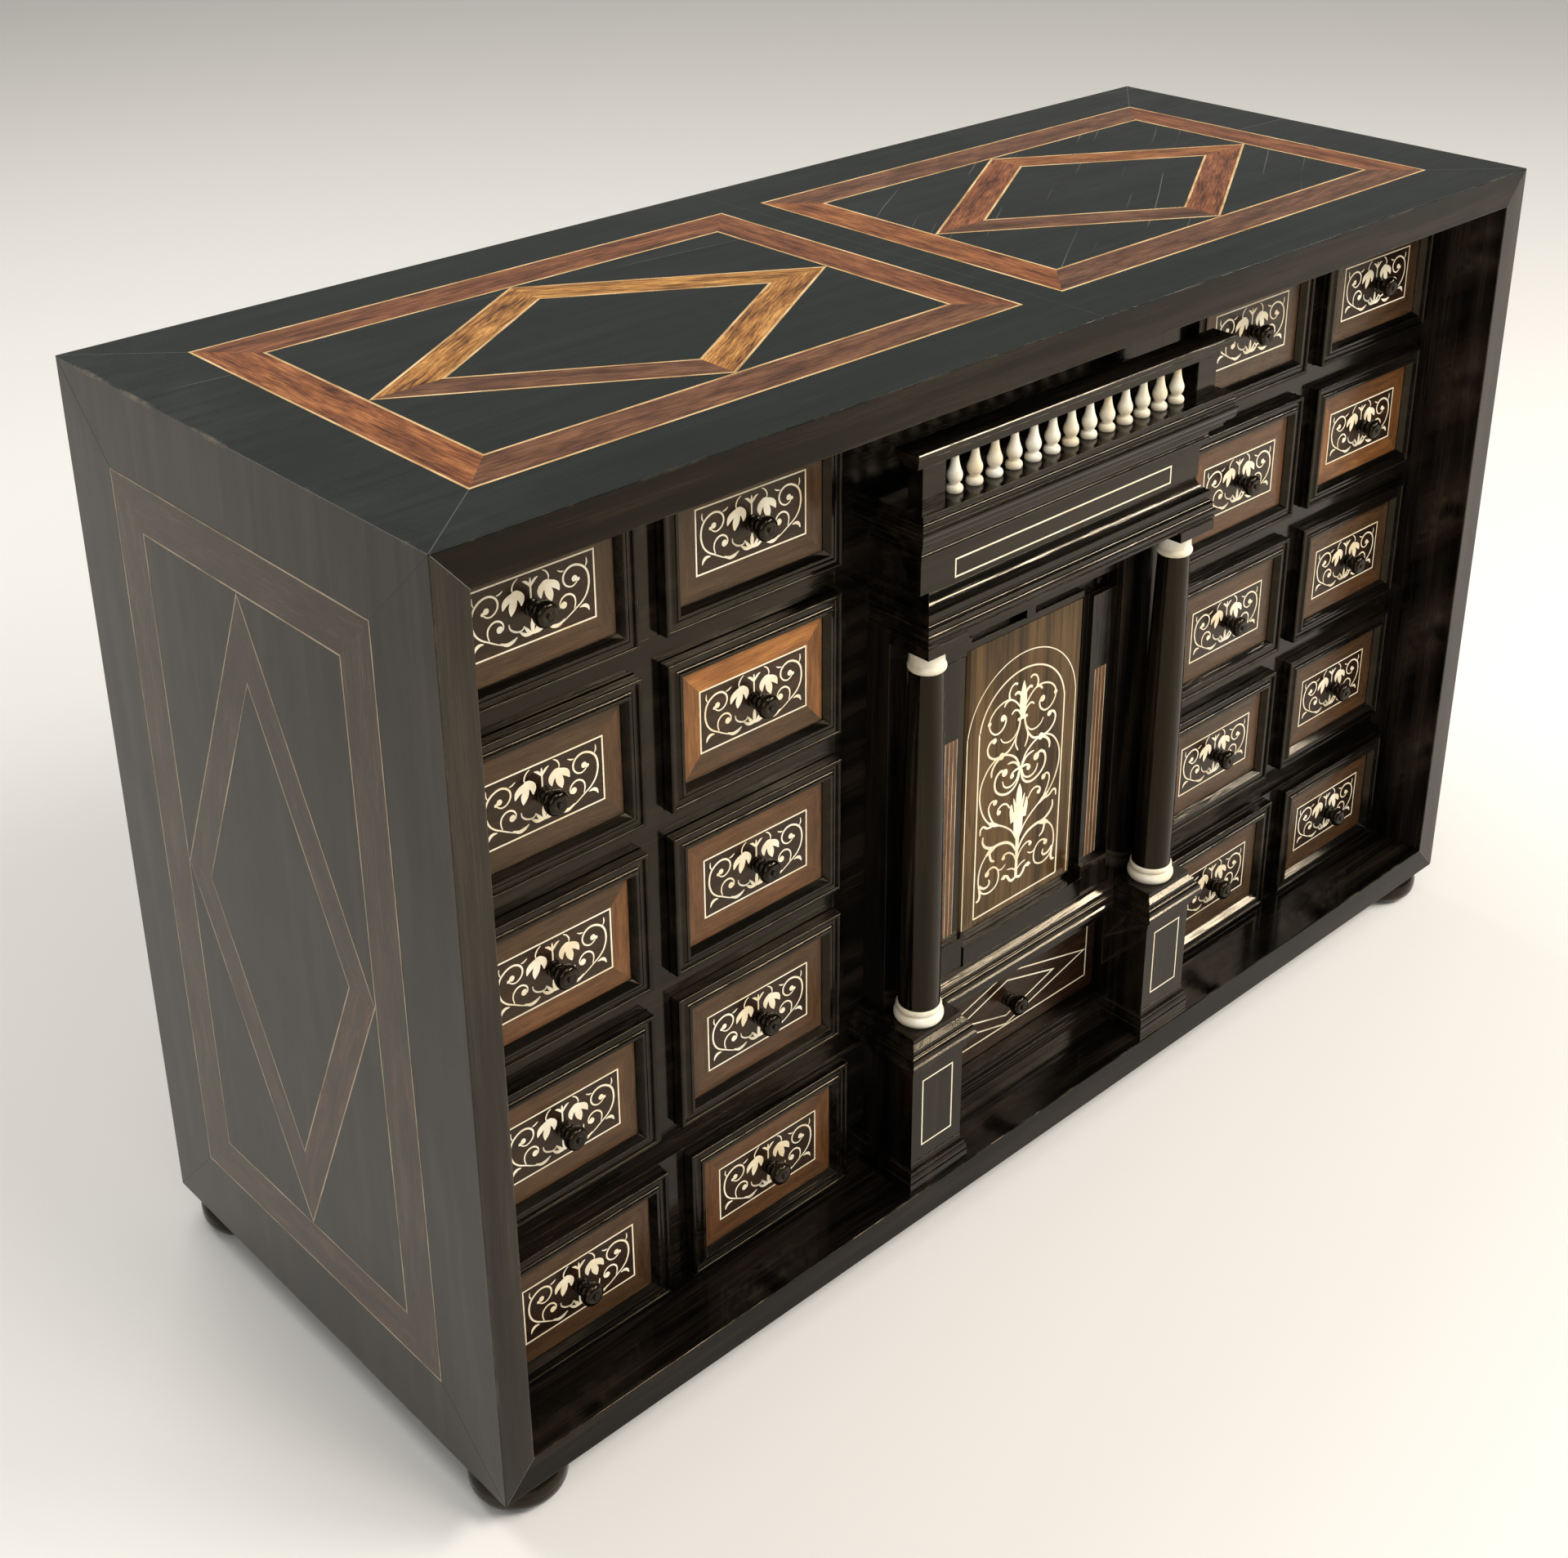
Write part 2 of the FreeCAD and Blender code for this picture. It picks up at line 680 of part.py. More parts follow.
def balusters():
    steps = scaled(baluster_shares, baluster_radius, baluster_height)
    first = -baluster_pitch * (baluster_count - 1) / 2
    return [turned(steps, first + baluster_pitch * i, frieze_depth + baluster_setback, platform)
            for i in range(baluster_count)]


def balustrade_rail():
    # moulded handrail with returned ends, and a post under each end
    steps = scaled(handrail_shares, handrail_projection, handrail_height)
    middle = frieze_depth + baluster_setback
    front = middle - handrail_reach
    half = frieze_half_width + handrail_overhang - handrail_projection
    rail = wrapped(steps, half, front + handrail_projection, rail_foot, front + handrail_depth)
    post_outer = frieze_half_width + post_overhang
    post = block((post_outer - post_width, post_outer),
                 (middle - post_depth / 2, middle + post_depth / 2), (platform, rail_foot))
    return [rail] + both_sides([post])


def door_pin(level, radius, length):
    return dowel(pin_x, pin_depth, level, radius, length)


def pin_hole(level, length):
    return door_pin(level, pin_radius + pin_clearance, length)


def door():
    # the hinge edge is rounded about the pins, so that it turns inside the jamb
    leaf = block((pin_x, door_half_width), (jamb_depth, door_back), (door_foot, door_top))
    return [leaf.fuse(door_pin(door_foot, pin_inset, door_height)),
            door_pin(door_foot - pin_length, pin_radius, pin_length),
            door_pin(door_top, pin_radius, pin_length)]


def threshold():
    top = cap_top + threshold_height
    body = block((-jamb_inner, jamb_inner), (jamb_depth, rail_back), (cap_top, top))
    return body.cut(pin_hole(door_foot - pin_length - pin_clearance, pin_length + overrun))


def door_niche():
    # floor, top, sides and back of the cupboard behind the door
    depths = (rail_back, inside_back - niche_end_gap)
    floor = cap_top + threshold_height - niche_floor_drop
    top = jamb_top + niche_board
    half = jamb_inner + niche_widening
    outer = half + niche_board
    inside = (-half, half)
    return both_sides([block((half, outer), depths, (cap_top, top))]) + [
        block(inside, depths, (floor - niche_board, floor)),
        block(inside, depths, (jamb_top, top)),
        block((-outer, outer), (depths[1], depths[1] + niche_board), (cap_top, top))]


def main():
    os.makedirs("parts", exist_ok=True)
    side = left_side()
    save("left_side", [side])
    save("right_side", [mirrored(side)])
    save("top_board", [top_board()])
    save("bottom_board", [bottom_board()])
    save("back_panel", [back_panel()])
    save("bun_feet", bun_feet())
    save("inner_partitions", inner_partitions())
    save("facade_rails", facade_rails())
    save("pedestals", both_sides([pedestal()]))
    save("plinth_mouldings", plinth_mouldings())
    save("column_shafts", both_sides([column_shaft()]))
    save("column_rings", both_sides([base_ring(), capital()]))
    save("portico_frame", portico_frame())
    save("entablature", entablature())
    save("balusters", balusters())
    save("balustrade_rail", balustrade_rail())
    save("door", door())
    save("door_niche", door_niche())
    save_drawers()
    save_plinth_drawer()


main()
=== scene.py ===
import math
import random

import bmesh
import bpy
from mathutils import Euler, Matrix, Vector


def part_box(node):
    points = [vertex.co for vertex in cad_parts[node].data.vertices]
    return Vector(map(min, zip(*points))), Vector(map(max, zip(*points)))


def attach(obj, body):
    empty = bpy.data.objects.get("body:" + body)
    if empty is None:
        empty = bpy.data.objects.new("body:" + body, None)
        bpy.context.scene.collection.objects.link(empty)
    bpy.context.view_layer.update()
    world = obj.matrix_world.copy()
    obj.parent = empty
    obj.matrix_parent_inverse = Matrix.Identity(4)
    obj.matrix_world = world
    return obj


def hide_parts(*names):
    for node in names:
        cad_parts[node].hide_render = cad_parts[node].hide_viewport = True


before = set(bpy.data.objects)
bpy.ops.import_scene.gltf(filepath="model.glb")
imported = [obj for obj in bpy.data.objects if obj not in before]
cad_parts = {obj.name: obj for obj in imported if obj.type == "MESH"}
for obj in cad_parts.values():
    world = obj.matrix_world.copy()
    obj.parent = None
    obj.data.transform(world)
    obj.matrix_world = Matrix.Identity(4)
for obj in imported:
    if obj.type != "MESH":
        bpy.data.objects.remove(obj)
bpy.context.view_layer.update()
print("frame loaded")

# Flat work is drawn in millimetres: x to the right, y up, z out of the face.
millimetre = 0.001
halfDepth = 173.5
footHeight = 23.0
caseWidth = 900.0
caseTop = 560.5

# How far the flat pieces stand over the face they are let into, in millimetres.
stand = {"ground": 0.05, "band": 0.08, "line": 0.11, "stroke": 0.12, "lap": 0.01, "step": 0.0006, "below": 0.3}


def addNode(tree, kind, inputs=None, **settings):
    node = tree.nodes.new("ShaderNode" + kind)
    for key, value in settings.items():
        setattr(node, key, value)
    for key, value in (inputs or {}).items():
        if isinstance(value, bpy.types.NodeSocket):
            tree.links.new(value, node.inputs[key])
        else:
            node.inputs[key].default_value = value
    return node


def mathNode(tree, operation, first, second=0.0, third=0.0, clamp=False):
    inputs = {0: first, 1: second, 2: third}
    return addNode(tree, "Math", inputs, operation=operation, use_clamp=clamp).outputs[0]


def mixColour(tree, share, first, second, blend="MIX"):
    mix = addNode(tree, "Mix", {0: share, 6: first, 7: second}, data_type="RGBA", blend_type=blend)
    return mix.outputs[2]


def mapRange(tree, value, low, high, toLow=0.0, toHigh=1.0):
    inputs = {"Value": value, "From Min": low, "From Max": high, "To Min": toLow, "To Max": toHigh}
    return addNode(tree, "MapRange", inputs).outputs[0]


def scaleVector(tree, vector, factors):
    return addNode(tree, "VectorMath", {0: vector, 1: factors}, operation="MULTIPLY").outputs[0]


def noise(tree, vector, scale, detail=2.0, roughness=0.5, distortion=0.0):
    inputs = {"Vector": vector, "Scale": scale, "Detail": detail, "Roughness": roughness, "Distortion": distortion}
    return addNode(tree, "TexNoise", inputs)


def newGroup(name, inputs, outputs):
    tree = bpy.data.node_groups.new(name, "ShaderNodeTree")
    for label, kind, value in inputs:
        socket = tree.interface.new_socket(name=label, in_out="INPUT", socket_type="NodeSocket" + kind)
        socket.default_value = value
    for label, kind in outputs:
        tree.interface.new_socket(name=label, in_out="OUTPUT", socket_type="NodeSocket" + kind)
    return tree, tree.nodes.new("NodeGroupInput").outputs, tree.nodes.new("NodeGroupOutput").inputs


def useGroup(tree, group, inputs):
    return addNode(tree, "Group", inputs, node_tree=group).outputs


grainShape = {
    "bendScale": 9.0,
    "bendReach": (0.0, 0.006, 0.006),
    "streakDetail": 5.0,
    "streakRough": 0.65,
    "figureScale": (0.4, 0.13, 0.13),
    "poreScale": (1.6, 1.9, 1.9),
    "poreFrom": 0.57,
    "poreTo": 0.68,
}


def makeGrainGroup():
    inputs = [
        ("Vector", "Vector", (0, 0, 0)),
        ("Along", "Float", 25.0),
        ("Across", "Float", 900.0),
        ("Figure", "Float", 0.6),
        ("Contrast", "Float", 0.1),
        ("Pores", "Float", 0.6),
        ("Dark", "Color", (0.01, 0.01, 0.01, 1)),
        ("Middle", "Color", (0.02, 0.02, 0.02, 1)),
        ("Light", "Color", (0.04, 0.04, 0.04, 1)),
    ]
    tree, given, result = newGroup("wood grain", inputs, [("Color", "Color"), ("Height", "Float")])
    bend = noise(tree, given["Vector"], grainShape["bendScale"], 1.0)
    shift = addNode(tree, "VectorMath", {0: bend.outputs[1], 1: (0.5, 0.5, 0.5)}, operation="SUBTRACT")
    bent = scaleVector(tree, shift.outputs[0], grainShape["bendReach"])
    wavy = addNode(tree, "VectorMath", {0: bent, 1: given["Vector"]}, operation="ADD")
    stretch = addNode(tree, "CombineXYZ", {0: given["Along"], 1: given["Across"], 2: given["Across"]})
    fibre = scaleVector(tree, wavy.outputs[0], stretch.outputs[0])
    streak = noise(tree, fibre, 1.0, grainShape["streakDetail"], grainShape["streakRough"]).outputs[0]
    figure = noise(tree, scaleVector(tree, fibre, grainShape["figureScale"]), 1.0).outputs[0]
    pore = noise(tree, scaleVector(tree, fibre, grainShape["poreScale"]), 1.0, 1.0).outputs[0]
    pore = mapRange(tree, pore, grainShape["poreFrom"], grainShape["poreTo"])
    coarse = mathNode(tree, "MULTIPLY", mathNode(tree, "SUBTRACT", figure, streak), given["Figure"])
    lowest = mathNode(tree, "SUBTRACT", 0.5, given["Contrast"])
    highest = mathNode(tree, "ADD", 0.5, given["Contrast"])
    share = mapRange(tree, mathNode(tree, "ADD", streak, coarse), lowest, highest)
    low = mathNode(tree, "MULTIPLY", share, 2.0, clamp=True)
    high = mathNode(tree, "MULTIPLY_ADD", share, 2.0, -1.0, clamp=True)
    colour = mixColour(tree, high, mixColour(tree, low, given["Dark"], given["Middle"]), given["Light"])
    dark = mixColour(tree, mathNode(tree, "MULTIPLY", pore, given["Pores"]), colour, given["Dark"])
    tree.links.new(dark, result["Color"])
    tree.links.new(mathNode(tree, "SUBTRACT", streak, pore), result["Height"])
    return tree


edgeShape = {
    "samples": 6,
    "patches": {"scale": 26.0, "detail": 8.0, "roughness": 0.8},
    "patchFrom": 0.5,
    "patchTo": 0.66,
    "wear": (0.86, 0.5),
    # This range maps occlusion from outside to a mask of painted shade in hollows and creases.
    "hollowShade": (0.9, 0.4),
}


def makeEdgeGroup():
    inputs = [("Vector", "Vector", (0, 0, 0)), ("Reach", "Float", 0.001)]
    tree, given, result = newGroup("worn edges and hollow shade", inputs, [("Wear", "Float"), ("HollowShade", "Float")])
    near, settings = {"Distance": given["Reach"]}, {"only_local": True, "samples": edgeShape["samples"]}
    inside = addNode(tree, "AmbientOcclusion", near, inside=True, **settings).outputs["AO"]
    # Occlusion from outside marks the hollows, which are darkened there as painted shade.
    outside = addNode(tree, "AmbientOcclusion", near, **settings).outputs["AO"]
    patches = noise(tree, given["Vector"], **edgeShape["patches"]).outputs[0]
    patches = mapRange(tree, patches, edgeShape["patchFrom"], edgeShape["patchTo"])
    wear = mapRange(tree, inside, *edgeShape["wear"])
    tree.links.new(mathNode(tree, "MULTIPLY", wear, patches), result["Wear"])
    tree.links.new(mapRange(tree, outside, *edgeShape["hollowShade"]), result["HollowShade"])
    return tree


polishShape = {
    "cloud": {"scale": 11.0, "detail": 5.0, "roughness": 0.6, "distortion": 0.4},
    "cloudShare": 0.7,
    "rubScale": (30, 260, 260),
    "rubShare": 0.3,
    "range": (0.35, 0.68),
    "waveScale": 16.0,
}


def makePolishGroup():
    inputs = [("Vector", "Vector", (0, 0, 0)), ("Rough", "Float", 0.2), ("Spread", "Float", 0.12)]
    tree, given, result = newGroup("hand polish", inputs, [("Roughness", "Float"), ("Wave", "Float")])
    cloud = noise(tree, given["Vector"], **polishShape["cloud"]).outputs[0]
    rub = noise(tree, scaleVector(tree, given["Vector"], polishShape["rubScale"]), 1.0).outputs[0]
    cloud = mathNode(tree, "MULTIPLY", cloud, polishShape["cloudShare"])
    both = mathNode(tree, "ADD", cloud, mathNode(tree, "MULTIPLY", rub, polishShape["rubShare"]))
    spread = mathNode(tree, "MULTIPLY", mapRange(tree, both, *polishShape["range"]), given["Spread"])
    tree.links.new(mathNode(tree, "ADD", given["Rough"], spread), result["Roughness"])
    tree.links.new(noise(tree, given["Vector"], polishShape["waveScale"], 1.0).outputs[0], result["Wave"])
    return tree


crackShape = {
    "bendScale": 7.0,
    "bend": 0.008,
    "placeSpread": 0.6,
    "placeFrom": 0.2,
    "core": 0.4,
    "runScale": 6.0,
    "runShift": 40.0,
    "ending": 0.08,
}


def makeCrackGroup():
    # Each strip of one spacing holds one hairline, at a place of its own, broken along its run.
    inputs = [
        ("Vector", "Vector", (0, 0, 0)),
        ("Turn", "Float", 0.0),
        ("Spacing", "Float", 0.01),
        ("Width", "Float", 0.0003),
        ("Sparse", "Float", 0.6),
    ]
    tree, given, result = newGroup("hair cracks", inputs, [("Crack", "Float")])
    turn = {"Vector": given["Vector"], "Angle": given["Turn"]}
    turned = addNode(tree, "VectorRotate", turn, rotation_type="Z_AXIS").outputs[0]
    bend = noise(tree, turned, crackShape["bendScale"], 1.0).outputs[0]
    bend = mathNode(tree, "MULTIPLY_ADD", bend, crackShape["bend"], -crackShape["bend"] / 2)
    parts = addNode(tree, "SeparateXYZ", {0: turned}).outputs
    strips = mathNode(tree, "DIVIDE", mathNode(tree, "ADD", parts[1], bend), given["Spacing"])
    chance = addNode(tree, "TexWhiteNoise", {"W": mathNode(tree, "FLOOR", strips)}, noise_dimensions="1D").outputs[0]
    target = mathNode(tree, "MULTIPLY_ADD", chance, crackShape["placeSpread"], crackShape["placeFrom"])
    off = mathNode(tree, "ABSOLUTE", mathNode(tree, "SUBTRACT", mathNode(tree, "FRACT", strips), target))
    away = mathNode(tree, "MULTIPLY", off, given["Spacing"])
    hair = mapRange(tree, away, given["Width"], mathNode(tree, "MULTIPLY", given["Width"], crackShape["core"]))
    along = mathNode(tree, "MULTIPLY", parts[0], crackShape["runScale"])
    shift = mathNode(tree, "MULTIPLY", chance, crackShape["runShift"])
    run = addNode(tree, "CombineXYZ", {0: along, 1: shift}).outputs[0]
    ending = mathNode(tree, "ADD", given["Sparse"], crackShape["ending"])
    broken = mapRange(tree, noise(tree, run, 1.0, 1.0).outputs[0], given["Sparse"], ending)
    tree.links.new(mathNode(tree, "MULTIPLY", hair, broken), result["Crack"])
    return tree


boneShape = {
    "cloud": {"detail": 4.0, "roughness": 0.6},
    "cloudRange": (0.35, 0.68),
    "speck": {"detail": 3.0, "roughness": 0.7},
    "speckRange": (0.62, 0.72),
}


def makeBoneGroup():
    inputs = [
        ("Vector", "Vector", (0, 0, 0)),
        ("Cloud Scale", "Float", 60.0),
        ("Speck Scale", "Float", 900.0),
        ("Specks", "Float", 0.4),
        ("Light", "Color", (0.9, 0.9, 0.8, 1)),
        ("Warm", "Color", (0.7, 0.6, 0.4, 1)),
        ("Dirt and Shade", "Color", (0.2, 0.1, 0.05, 1)),
    ]
    tree, given, result = newGroup("bone clouds", inputs, [("Color", "Color"), ("Cloud", "Float")])
    cloud = noise(tree, given["Vector"], given["Cloud Scale"], **boneShape["cloud"]).outputs[0]
    colour = mixColour(tree, mapRange(tree, cloud, *boneShape["cloudRange"]), given["Light"], given["Warm"])
    specks = noise(tree, given["Vector"], given["Speck Scale"], **boneShape["speck"]).outputs[0]
    specks = mapRange(tree, specks, *boneShape["speckRange"])
    colour = mixColour(tree, mathNode(tree, "MULTIPLY", specks, given["Specks"]), colour, given["Dirt and Shade"])
    tree.links.new(colour, result["Color"])
    tree.links.new(cloud, result["Cloud"])
    return tree


grainGroup = makeGrainGroup()
crackGroup = makeCrackGroup()
edgeGroup = makeEdgeGroup()
polishGroup = makePolishGroup()
boneGroup = makeBoneGroup()

# Turns that lay the grain, which runs along x in the group, along another axis.
grainTurns = {"x": (0, 0, 0), "y": (0, 0, math.pi / 2), "z": (0, math.pi / 2, 0)}


def startMaterial(name):
    material = bpy.data.materials.new(name)
    material.use_nodes = True
    tree = material.node_tree
    tree.nodes.clear()
    shader = addNode(tree, "BsdfPrincipled")
    output = addNode(tree, "OutputMaterial")
    tree.links.new(shader.outputs[0], output.inputs["Surface"])
    return material, tree, shader


woodSurface = {"wornRough": 0.25, "waveDepth": 0.002, "fibreDepth": 0.0002, "roundSamples": 4}


def woodMaterial(name, look):
    material, tree, shader = startMaterial(name)
    source = addNode(tree, "TexCoord").outputs[look.get("source", "Object")]
    turned = addNode(tree, "Mapping", {"Vector": source, "Rotation": grainTurns[look.get("grain", "x")]}).outputs[0]
    tints = {label: (*look[label.lower()], 1) for label in ("Dark", "Middle", "Light")}
    if "golden" in look:
        tone = addNode(tree, "Attribute", attribute_name="tone").outputs["Fac"]
        redShare = mathNode(tree, "MULTIPLY", tone, 2.0, clamp=True)
        goldShare = mathNode(tree, "MULTIPLY_ADD", tone, 2.0, -1.0, clamp=True)
        for label, red, golden in zip(tints, look["red"], look["golden"]):
            reddish = mixColour(tree, redShare, tints[label], (*red, 1))
            tints[label] = mixColour(tree, goldShare, reddish, (*golden, 1))
    figure = {label: look[label.lower()] for label in ("Along", "Across", "Figure", "Contrast", "Pores")}
    grain = useGroup(tree, grainGroup, {"Vector": turned, **figure, **tints})
    polish = useGroup(tree, polishGroup, {"Vector": turned, "Rough": look["rough"], "Spread": look["spread"]})
    colour, roughness = grain["Color"], polish["Roughness"]
    if "cracks" in look:
        cracks = useGroup(tree, crackGroup, {"Vector": turned, **look["cracks"]})["Crack"]
        colour = mixColour(tree, cracks, colour, (*look["crackColour"], 1))
    if "wear" in look:
        edge = useGroup(tree, edgeGroup, {"Vector": source, "Reach": look["reach"]})
        worn = mathNode(tree, "MULTIPLY", edge["Wear"], look["wear"])
        colour = mixColour(tree, worn, colour, (*look["wornColour"], 1))
        roughness = mathNode(tree, "MULTIPLY_ADD", edge["Wear"], woodSurface["wornRough"], roughness, clamp=True)
    tree.links.new(colour, shader.inputs["Base Color"])
    tree.links.new(roughness, shader.inputs["Roughness"])
    wave = {"Height": polish["Wave"], "Strength": look["wave"], "Distance": woodSurface["waveDepth"]}
    wave = addNode(tree, "Bump", wave)
    if "round" in look:
        rounded = addNode(tree, "Bevel", {"Radius": look["round"]}, samples=woodSurface["roundSamples"])
        tree.links.new(rounded.outputs[0], wave.inputs["Normal"])
    fibre = {"Height": grain["Height"], "Strength": look["fibre"], "Distance": woodSurface["fibreDepth"]}
    fibre = addNode(tree, "Bump", {**fibre, "Normal": wave.outputs[0]})
    tree.links.new(fibre.outputs[0], shader.inputs["Normal"])
    shader.inputs["Specular IOR Level"].default_value = look["specular"]
    # The specular tint colours the reflections warm, and greenish on the top, as a painted reflection of warm
    # surroundings and a greenish wall.
    shader.inputs["Specular Tint"].default_value = (*look.get("paintedReflectionTint", (1, 1, 1)), 1)
    return material


# The first share sets how strongly the hollows of turned bone are darkened as painted shade.
boneSurface = {"hollowShade": 0.75, "cloud": (0.3, 0.7), "roughSpread": 0.15, "depth": (0.002, 0.0015, 0.001)}


def boneMaterial(name, look):
    material, tree, shader = startMaterial(name)
    source = addNode(tree, "TexCoord").outputs["Object"]
    tints = {label: (*look[label.lower()], 1) for label in ("Light", "Warm", "Dirt and Shade")}
    scales = {"Cloud Scale": look["cloudScale"], "Speck Scale": look["speckScale"], "Specks": look["specks"]}
    bone = useGroup(tree, boneGroup, {"Vector": source, **scales, **tints})
    colour, cloud = bone["Color"], bone["Cloud"]
    # With a reach, the bone's hollows go towards the dark colour as painted shade; that colour also tints real dirt
    # specks.
    if "reach" in look:
        edge = useGroup(tree, edgeGroup, {"Vector": source, "Reach": look["reach"]})
        hollowShade = mathNode(tree, "MULTIPLY", edge["HollowShade"], boneSurface["hollowShade"])
        colour = mixColour(tree, hollowShade, colour, (*look["dirt and shade"], 1))
    tree.links.new(colour, shader.inputs["Base Color"])
    rough = mapRange(tree, cloud, *boneSurface["cloud"], look["rough"], look["rough"] + boneSurface["roughSpread"])
    tree.links.new(rough, shader.inputs["Roughness"])
    shader.inputs["Subsurface Weight"].default_value = look.get("subsurface", 0.0)
    shader.inputs["Subsurface Radius"].default_value = boneSurface["depth"]
    return material


ebonyLook = {
    "along": 14.0,
    "across": 700.0,
    "figure": 0.6,
    "contrast": 0.1,
    "pores": 0.6,
    "dark": (0.001, 0.0009, 0.0008),
    "middle": (0.0032, 0.0025, 0.002),
    "light": (0.011, 0.0078, 0.0052),
    "rough": 0.06,
    "spread": 0.12,
    "wave": 0.35,
    "fibre": 0.1,
    "specular": 0.24,
    # Warm tint of the reflections: a painted reflection.
    "paintedReflectionTint": (1.0, 0.8, 0.52),
    "round": 0.0005,
    "wear": 0.3,
    "wornColour": (0.1, 0.07, 0.045),
    "reach": 0.001,
}
boardEbonyLook = {
    **ebonyLook,
    "wear": 0.7,
    "reach": 0.0017,
    "wornColour": (0.2, 0.16, 0.11),
    "specular": 0.14,
    "round": 0.0,
}
# The top's ebony colours are lifted and turned greenish as a painted reflection of pale greenish surroundings.
topLook = {
    "contrast": 0.2,
    "dark": (0.0035, 0.005, 0.0042),
    "middle": (0.0062, 0.0084, 0.007),
    "light": (0.0105, 0.0135, 0.0112),
    "rough": 0.2,
    "spread": 0.16,
    "paintedReflectionTint": (0.86, 1.0, 0.92),
    "specular": 0.45,
    "crackColour": (0.1, 0.1, 0.088),
}
# The top's fields share this painted greenish reflection.
fieldLook = {**{key: value for key, value in ebonyLook.items() if key not in ("wear", "round")}, **topLook}
# The sides' ebony is lighter and browner than the front's, and its reflections are tinted warm: both are a painted
# warm reflection.
sideTint = {
    "grain": "z",
    "middle": (0.0085, 0.0062, 0.0048),
    "light": (0.021, 0.0145, 0.0105),
    "rough": 0.06,
    "spread": 0.14,
    "specular": 0.36,
    "paintedReflectionTint": (1.0, 0.87, 0.68),
    "contrast": 0.12,
    "crackColour": (0.002, 0.0015, 0.001),
}
cracksOf = {
    "margin": {"Turn": 0.06, "Spacing": 0.014, "Width": 0.0003, "Sparse": 0.62},
    "left": {"Turn": 0.08, "Spacing": 0.02, "Width": 0.0003, "Sparse": 0.62},
    "right": {"Turn": -0.58, "Spacing": 0.013, "Width": 0.0004, "Sparse": 0.54},
    "side": {"Turn": 0.05, "Spacing": 0.03, "Width": 0.0003, "Sparse": 0.6},
}
palisanderLook = {
    "source": "UV",
    "along": 55.0,
    "across": 800.0,
    "figure": 0.42,
    "contrast": 0.13,
    "pores": 0.7,
    "dark": (0.036, 0.0165, 0.009),
    "middle": (0.105, 0.047, 0.025),
    "light": (0.18, 0.088, 0.046),
    "red": ((0.045, 0.012, 0.005), (0.2, 0.06, 0.02), (0.37, 0.13, 0.044)),
    "golden": ((0.035, 0.013, 0.003), (0.35, 0.15, 0.034), (0.68, 0.36, 0.1)),
    "rough": 0.2,
    "spread": 0.16,
    "wave": 0.2,
    "fibre": 0.2,
    "specular": 0.4,
    # Warm tint of the reflections: a painted reflection.
    "paintedReflectionTint": (1.0, 0.9, 0.76),
}
pineLook = {
    "along": 9.0,
    "across": 420.0,
    "figure": 0.35,
    "contrast": 0.16,
    "pores": 0.3,
    "specular": 0.4,
    "dark": (0.13, 0.07, 0.032),
    "middle": (0.25, 0.148, 0.07),
    "light": (0.35, 0.228, 0.117),
    "rough": 0.55,
    "spread": 0.2,
    "wave": 0.1,
    "fibre": 0.5,
}
stringingLook = {
    "source": "UV",
    "along": 60.0,
    "across": 900.0,
    "figure": 0.5,
    "contrast": 0.12,
    "pores": 0.3,
    "rough": 0.3,
    "spread": 0.15,
    "wave": 0.1,
    "fibre": 0.1,
    "specular": 0.4,
}
drawerBandLook = {
    **palisanderLook,
    "across": 1300.0,
    "contrast": 0.2,
    "pores": 0.5,
    "dark": (0.016, 0.008, 0.0034),
    "middle": (0.041, 0.0215, 0.0092),
    "light": (0.072, 0.038, 0.017),
    "red": ((0.035, 0.013, 0.005), (0.095, 0.038, 0.013), (0.16, 0.066, 0.023)),
    "golden": ((0.1, 0.033, 0.009), (0.27, 0.096, 0.02), (0.5, 0.21, 0.046)),
    # Warm tint of the reflections: a painted reflection.
    "paintedReflectionTint": (1.0, 0.84, 0.6),
    "specular": 0.32,
}
drawerFieldLook = {
    **palisanderLook,
    "across": 1300.0,
    "contrast": 0.2,
    # Warm tint of the reflections: a painted reflection.
    "paintedReflectionTint": (1.0, 0.8, 0.54),
    "specular": 0.3,
    "dark": (0.004, 0.002, 0.0015),
    "middle": (0.0135, 0.0055, 0.0033),
    "light": (0.038, 0.014, 0.0065),
    "red": ((0.005, 0.0025, 0.0015), (0.018, 0.008, 0.0042), (0.05, 0.021, 0.009)),
    "golden": ((0.006, 0.003, 0.0015), (0.03, 0.0135, 0.006), (0.075, 0.034, 0.014)),
}
sideBandLook = {
    **palisanderLook,
    "dark": (0.009, 0.005, 0.0034),
    "middle": (0.028, 0.0155, 0.0095),
    "light": (0.06, 0.034, 0.02),
    "red": ((0.009, 0.004, 0.0025), (0.036, 0.0175, 0.0095), (0.08, 0.038, 0.02)),
    "golden": ((0.009, 0.004, 0.002), (0.056, 0.024, 0.0115), (0.12, 0.052, 0.023)),
    "rough": 0.07,
    "spread": 0.12,
    "paintedReflectionTint": sideTint["paintedReflectionTint"],
}
doorWoodLook = {
    **ebonyLook,
    "grain": "z",
    "across": 480.0,
    "dark": (0.022, 0.011, 0.0032),
    "middle": (0.066, 0.035, 0.0115),
    "light": (0.108, 0.06, 0.022),
    "specular": 0.17,
}
